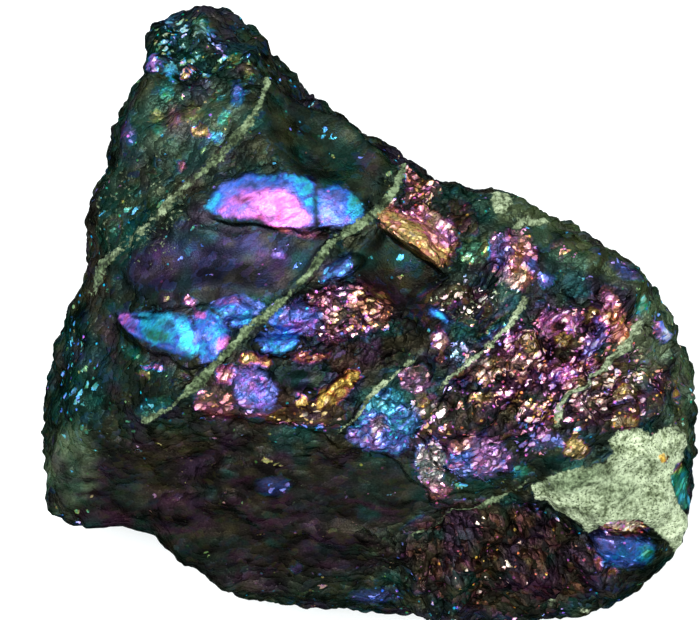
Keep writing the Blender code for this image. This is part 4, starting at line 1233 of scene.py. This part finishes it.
def make_ore():
    """The whole stone as one surface, with its tarnish kept on its points."""
    ore, directions = crowded_sphere()
    ore.name = "tarnished_ore"
    ore.data.name = "tarnished_ore"
    points, u, v, upper, share, fine = shape(directions)
    spot_u, spot_v = on_sheet(points)
    jag_u, jag_v = jagged(spot_u, spot_v, share, fine)
    film, spread, shining, glow = tarnish(jag_u, jag_v, np.minimum(RIM_TARNISH * upper, 1.0))
    cover, light = rock(u + ROCK_JAG * (jag_u - spot_u), v + ROCK_JAG * (jag_v - spot_v), upper)
    (chip_height, chip_face), (bit_height, bit_face) = fine["chips"], fine["bits"]
    looks = {
        "film": film + spread * (chip_face - 0.5) + 0.5 * spread * (bit_face - 0.5),
        "spread": spread,
        "shining": shining,
        "pale": paleness_and_highlight(jag_u, jag_v) * upper,
        "glow": glow * (1.0 - CRACK_DEPTH * cracks(u, v)),
        "lot": chip_face,
        # The crease is painted shade: it is low in the creases between the fine grains, where beads
        # and glints are dimmed.
        "crease": smoothstep(0.15, 0.5, 0.6 * chip_height + 0.4 * bit_height),
        "grit": share,
        "lie": lie(u, v),
        "rock": cover,
        "rock_light": light,
        "ground": ground(jag_u, jag_v, points),
    }
    for name, values in looks.items():
        store(ore.data, name, values)
    low, high = points.min(axis=0), points.max(axis=0)
    points -= [(low[0] + high[0]) / 2.0, (low[1] + high[1]) / 2.0, low[2] + FACET_DEPTH]
    ore.data.vertices.foreach_set("co", points.ravel())
    ore.data.update()
    cut_flat(ore.data, 0.0)
    thin_out(ore, MOST_TRIANGLES)
    ore.data.shade_smooth()
    ore.data.set_sharp_from_angle(angle=math.radians(SHARP_EDGE_DEG))
    return ore


class Value:
    """What a node gives out: a number, a colour or a vector. Sums of these make more nodes."""

    def __init__(self, nodes, socket):
        self.nodes, self.socket = nodes, socket

    def joined(self, operation, first, second):
        if self.socket.type == "VALUE":
            return self.nodes.math(operation, first, second)
        second = second if isinstance(second, Value) else (second,) * 3
        return self.nodes.add("VectorMath", ["Vector"], {0: first, 1: second}, operation=operation)

    def __add__(self, other):
        return self.joined("ADD", self, other)

    def __sub__(self, other):
        return self.joined("SUBTRACT", self, other)

    def __rsub__(self, other):
        return self.joined("SUBTRACT", other, self)

    def __mul__(self, other):
        if self.socket.type == "VALUE":
            return self.joined("MULTIPLY", self, other)
        return self.nodes.add("VectorMath", ["Vector"], {0: self, "Scale": other},
                              operation="SCALE")


class Nodes:
    """A short way to write a material's nodes."""

    def __init__(self, name):
        self.material = bpy.data.materials.new(name)
        self.material.use_nodes = True
        self.tree = self.material.node_tree
        self.shader = self.tree.nodes["Principled BSDF"]

    def add(self, kind, outputs, inputs, **settings):
        """A new node's named outputs: one of them by itself, several as a list."""
        node = self.tree.nodes.new("ShaderNode" + kind)
        for name, value in settings.items():
            setattr(node, name, value)
        self.give(node, inputs)
        given = [Value(self, node.outputs[name]) for name in outputs]
        return given if len(given) > 1 else given[0]

    def give(self, node, inputs):
        for name, value in inputs.items():
            if isinstance(value, Value):
                self.tree.links.new(value.socket, node.inputs[name])
            else:
                node.inputs[name].default_value = value

    def math(self, operation, first, second, clamp=False):
        return self.add("Math", [0], {0: first, 1: second}, operation=operation, use_clamp=clamp)

    def between(self, value, low, high, out_low=0.0, out_high=1.0):
        """A smooth step from one value at low to another at high."""
        inputs = {"Value": value, "From Min": low, "From Max": high, "To Min": out_low,
                  "To Max": out_high}
        return self.add("MapRange", ["Result"], inputs, interpolation_type="SMOOTHSTEP")

    def stored(self, name, output="Fac"):
        """What the mesh keeps under a name."""
        return self.add("Attribute", [output], {}, attribute_name=name)

    def blend(self, share, first, second, way="MIX"):
        return self.add("Mix", [2], {"Factor": share, 6: first, 7: second}, data_type="RGBA",
                        blend_type=way, clamp_result=False)

    def ramp(self, value, stops):
        colour = self.add("ValToRGB", ["Color"], {"Fac": value})
        elements = colour.socket.node.color_ramp.elements
        while len(elements) < len(stops):
            elements.new(0.5)
        for element, (place, tone) in zip(elements, stops):
            element.position = place
            element.color = (*linear(tone), 1.0)
        return colour

    def scaled(self, place, scale):
        return self.add("Mapping", ["Vector"], {"Vector": place, "Scale": scale})

    def texture(self, place, name, output="Fac"):
        """One of the TEXTURES: cloudy noise from 0 to 1."""
        size, detail, roughness = TEXTURES[name]
        inputs = {"Vector": place, "Scale": 1.0 / (size * MM), "Detail": detail,
                  "Roughness": roughness}
        return self.add("TexNoise", [output], inputs)

    def beads(self, place, size):
        """Split cells: three lots for each, how far from the cell's middle, and the raw lots."""
        inputs = {"Vector": place, "Scale": 1.0 / size}
        lots, away = self.add("TexVoronoi", ["Color", "Distance"], inputs, feature="F1")
        return (*self.add("SeparateColor", ["Red", "Green", "Blue"], {"Color": lots}), away, lots)


def ore_material():
    """Dark ground with shining beads of tarnish, and grey-green rock where it covers the ore."""
    n = Nodes("peacock ore")
    place = n.add("TexCoord", ["Object"], {})
    names = ["film", "spread", "shining", "pale", "glow", "lot", "crease", "grit", "rock",
             "rock_light"]
    film, spread, shining, pale, glow, lot, crease, grit, cover, light = map(n.stored, names)
    turned = n.add("VectorRotate", ["Vector"],
                   {"Vector": place, "Axis": (0.0, 0.0, 1.0), "Angle": n.stored("lie")})
    slant = n.scaled(turned, BEAD_STRETCH)
    mottle, speck = n.texture(place, "mottle"), n.texture(place, "speck")
    streak = n.texture(slant, "streak")
    fold = n.texture(n.scaled(turned, FOLD_STRETCH), "fold")
    warp = (n.texture(place, "warp", "Color") - 0.5) * WARP
    hue, chance, shade, bead_away, bead_lots = n.beads(slant + warp, BEAD_SIZE)
    glint_hue, glint_chance, glint_shade, glint_away, _ = n.beads(place, GLINT_SIZE)

    film = film + spread * (hue - 0.5) + (mottle - 0.5) * MOTTLE_FILM
    film = film + (fold - 0.5) * (glow * FOLD_FILM)
    stops = list(FILM.values())
    tarnished = n.ramp(film, stops)

    # A bead shines where its draw is under the share. Facets with an even glow shine all over.
    draw = lot * CHIP_DRAW + chance * (1.0 - CHIP_DRAW) + (0.5 - mottle) * CLUSTERING
    picked = n.between(shining - draw, -0.01, 0.03)
    bead = picked * n.between(bead_away, 0.36, 0.52, 1.0, 0.0)
    # Beads in the creases are dimmed: painted shade.
    bead = bead * (n.between(crease, 0.0, 0.9, 0.08, 1.0) * n.between(shade, 0.0, 0.5, 0.4, 1.0))
    pitted = n.between(n.texture(place, "pit"), 0.36, 0.50, 0.3, 1.0)
    even = glow * n.math("MAXIMUM", pitted, 0.95 - grit)
    even = even * n.between(streak, 0.30, 0.56, 0.7, 1.0)
    even = even * n.between(fold, 0.34, 0.52, 0.55, 1.0)
    gleam = n.math("MAXIMUM", bead, even, clamp=True)

    lit = n.between(speck, 0.3, 0.7, 0.7, 1.2) * n.between(shade, 0.0, 1.0, 0.75, 1.15)
    sheen = n.math("POWER", chance, 3.0) * WEAK_SHEEN
    dark = n.stored("ground", "Color") * lit + tarnished * sheen
    # A shining bead's middle, and a little of the whole bead, is washed pale: a painted highlight.
    # The pale beads are partly painted highlight too.
    highlight_core = n.between(bead_away, 0.12, 0.50, 1.0, 0.0) * (picked * grit)
    highlight_core = highlight_core * n.between(shade, 0.1, 0.9, 0.3, 1.0) + picked * BEAD_WASH
    pale_and_highlight_wash = highlight_core * n.between(film, 0.32, 0.46, 1.0, 0.35) * CORE_HIGHLIGHT + glow * GLOW_HIGHLIGHT
    pale_and_highlight_wash = n.math("MINIMUM", pale_and_highlight_wash + pale * picked, MOST_WASH)
    metal = n.blend(gleam, dark, n.blend(pale_and_highlight_wash, tarnished, n.ramp(glint_hue, PALE_TONES)))

    glinting = n.between((shining * GLINTS + PLAIN_GLINTS) * grit - glint_chance, -0.005, 0.01)
    glinting = glinting * n.between(glint_away, 0.3, 0.6, 1.0, 0.0)
    glinting = glinting * n.between(glint_shade, -0.3, 0.8)
    glint = n.ramp(film + (glint_hue - 0.5) * GLINT_FILM, stops)
    # Glints are kept out of the creases: painted shade.
    metal = n.blend(glinting * crease, metal, glint)

    fleck = n.texture(place, "fleck") * (1.0 - BLOTCHES) + n.texture(place, "blotch") * BLOTCHES
    stone = n.blend(light, n.ramp(fleck, DULL_ROCK), n.ramp(fleck, PALE_ROCK))
    pepper = n.ramp(n.between(speck, 0.35, 0.42), PEPPER)
    stone = n.blend(n.between(light, 0.2, 0.7, 0.25, 1.0), stone, pepper, "MULTIPLY")
    ragged = n.between(cover + (n.texture(place, "fray") - 0.5) * FRAY, 0.36, 0.72)

    rough = n.between(gleam - glow, 0.0, 1.0, 0.46, 0.24) + (mottle - 0.5) * 0.15
    leaning = n.add("NewGeometry", ["Normal"], {}) + (bead_lots - 0.5) * (grit * BEAD_TILT)
    leaning = n.add("VectorMath", ["Vector"], {0: leaning}, operation="NORMALIZE")
    height = bead_away * bead_away * BEAD_DOME * n.between(grit, 0.1, 0.8) + speck * 0.25
    bumped = n.add("Bump", ["Normal"], {"Strength": 0.8, "Distance": BUMP_HEIGHT,
                                        "Height": height, "Normal": leaning})
    n.give(n.shader, {
        "Base Color": n.blend(ragged, metal, stone * ROCK_SHADE),
        "Metallic": 1.0 - ragged,
        "Roughness": rough + ragged * 0.45,
        "Specular Tint": (*EDGE_TINT, 1.0),
        "Normal": bumped,
    })
    return n.material


def floor_material():
    n = Nodes("pale floor")
    n.give(n.shader, {
        "Base Color": (0.90, 0.92, 0.91, 1.0),
        "Roughness": 0.9,
        "Specular IOR Level": 0.1,
        "Emission Color": (0.97, 1.0, 0.98, 1.0),
        "Emission Strength": FLOOR_GLOW,
    })
    return n.material


def make_floor():
    bpy.ops.mesh.primitive_plane_add(size=FLOOR_SIDE)
    floor = bpy.context.object
    floor.name = "floor"
    floor.location.z = -FLOOR_GAP
    floor.data.materials.append(floor_material())
    return floor


def soft_light(name, place, size, radiance):
    """A square area light of a given brightness that looks at the stone."""
    data = bpy.data.lights.new(name, "AREA")
    data.size = size
    data.energy = radiance * math.pi * size ** 2
    lamp = bpy.data.objects.new(name, data)
    bpy.context.scene.collection.objects.link(lamp)
    lamp.location = place
    aim = Vector((0.0, 0.0, CORE_HEIGHT)) - Vector(place)
    lamp.rotation_euler = aim.to_track_quat("-Z", "Y").to_euler()
    lamp.visible_camera = False


def light_studio():
    for name, (place, size, radiance) in LAMPS.items():
        soft_light(name, place, size, radiance)
    world = bpy.data.worlds.new("studio")
    bpy.context.scene.world = world
    world.use_nodes = True
    background = world.node_tree.nodes["Background"]
    background.inputs["Color"].default_value = (0.95, 0.97, 1.0, 1.0)
    background.inputs["Strength"].default_value = WORLD_LIGHT


def place_camera():
    """Looks straight down, as the photograph looks at the stone's bright face."""
    data = bpy.data.cameras.new("camera")
    camera = bpy.data.objects.new("camera", data)
    bpy.context.scene.collection.objects.link(camera)
    x = (FRAME_MIDDLE[0] - SHEET_MIDDLE[0]) * UNIT
    y = (SHEET_MIDDLE[1] - FRAME_MIDDLE[1]) * UNIT
    camera.location = (x, y, CORE_HEIGHT + CAMERA_DISTANCE)
    data.sensor_width = SENSOR
    data.lens = SENSOR * CAMERA_DISTANCE / (FRAME_WIDTH * UNIT)
    data.clip_start, data.clip_end = CAMERA_CLIP
    bpy.context.scene.camera = camera


ore = make_ore()
ore.data.materials.clear()
ore.data.materials.append(ore_material())
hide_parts(NODE)
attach(ore, "root")
floor = make_floor()
light_studio()
place_camera()
bpy.context.scene.view_settings.view_transform = "Standard"
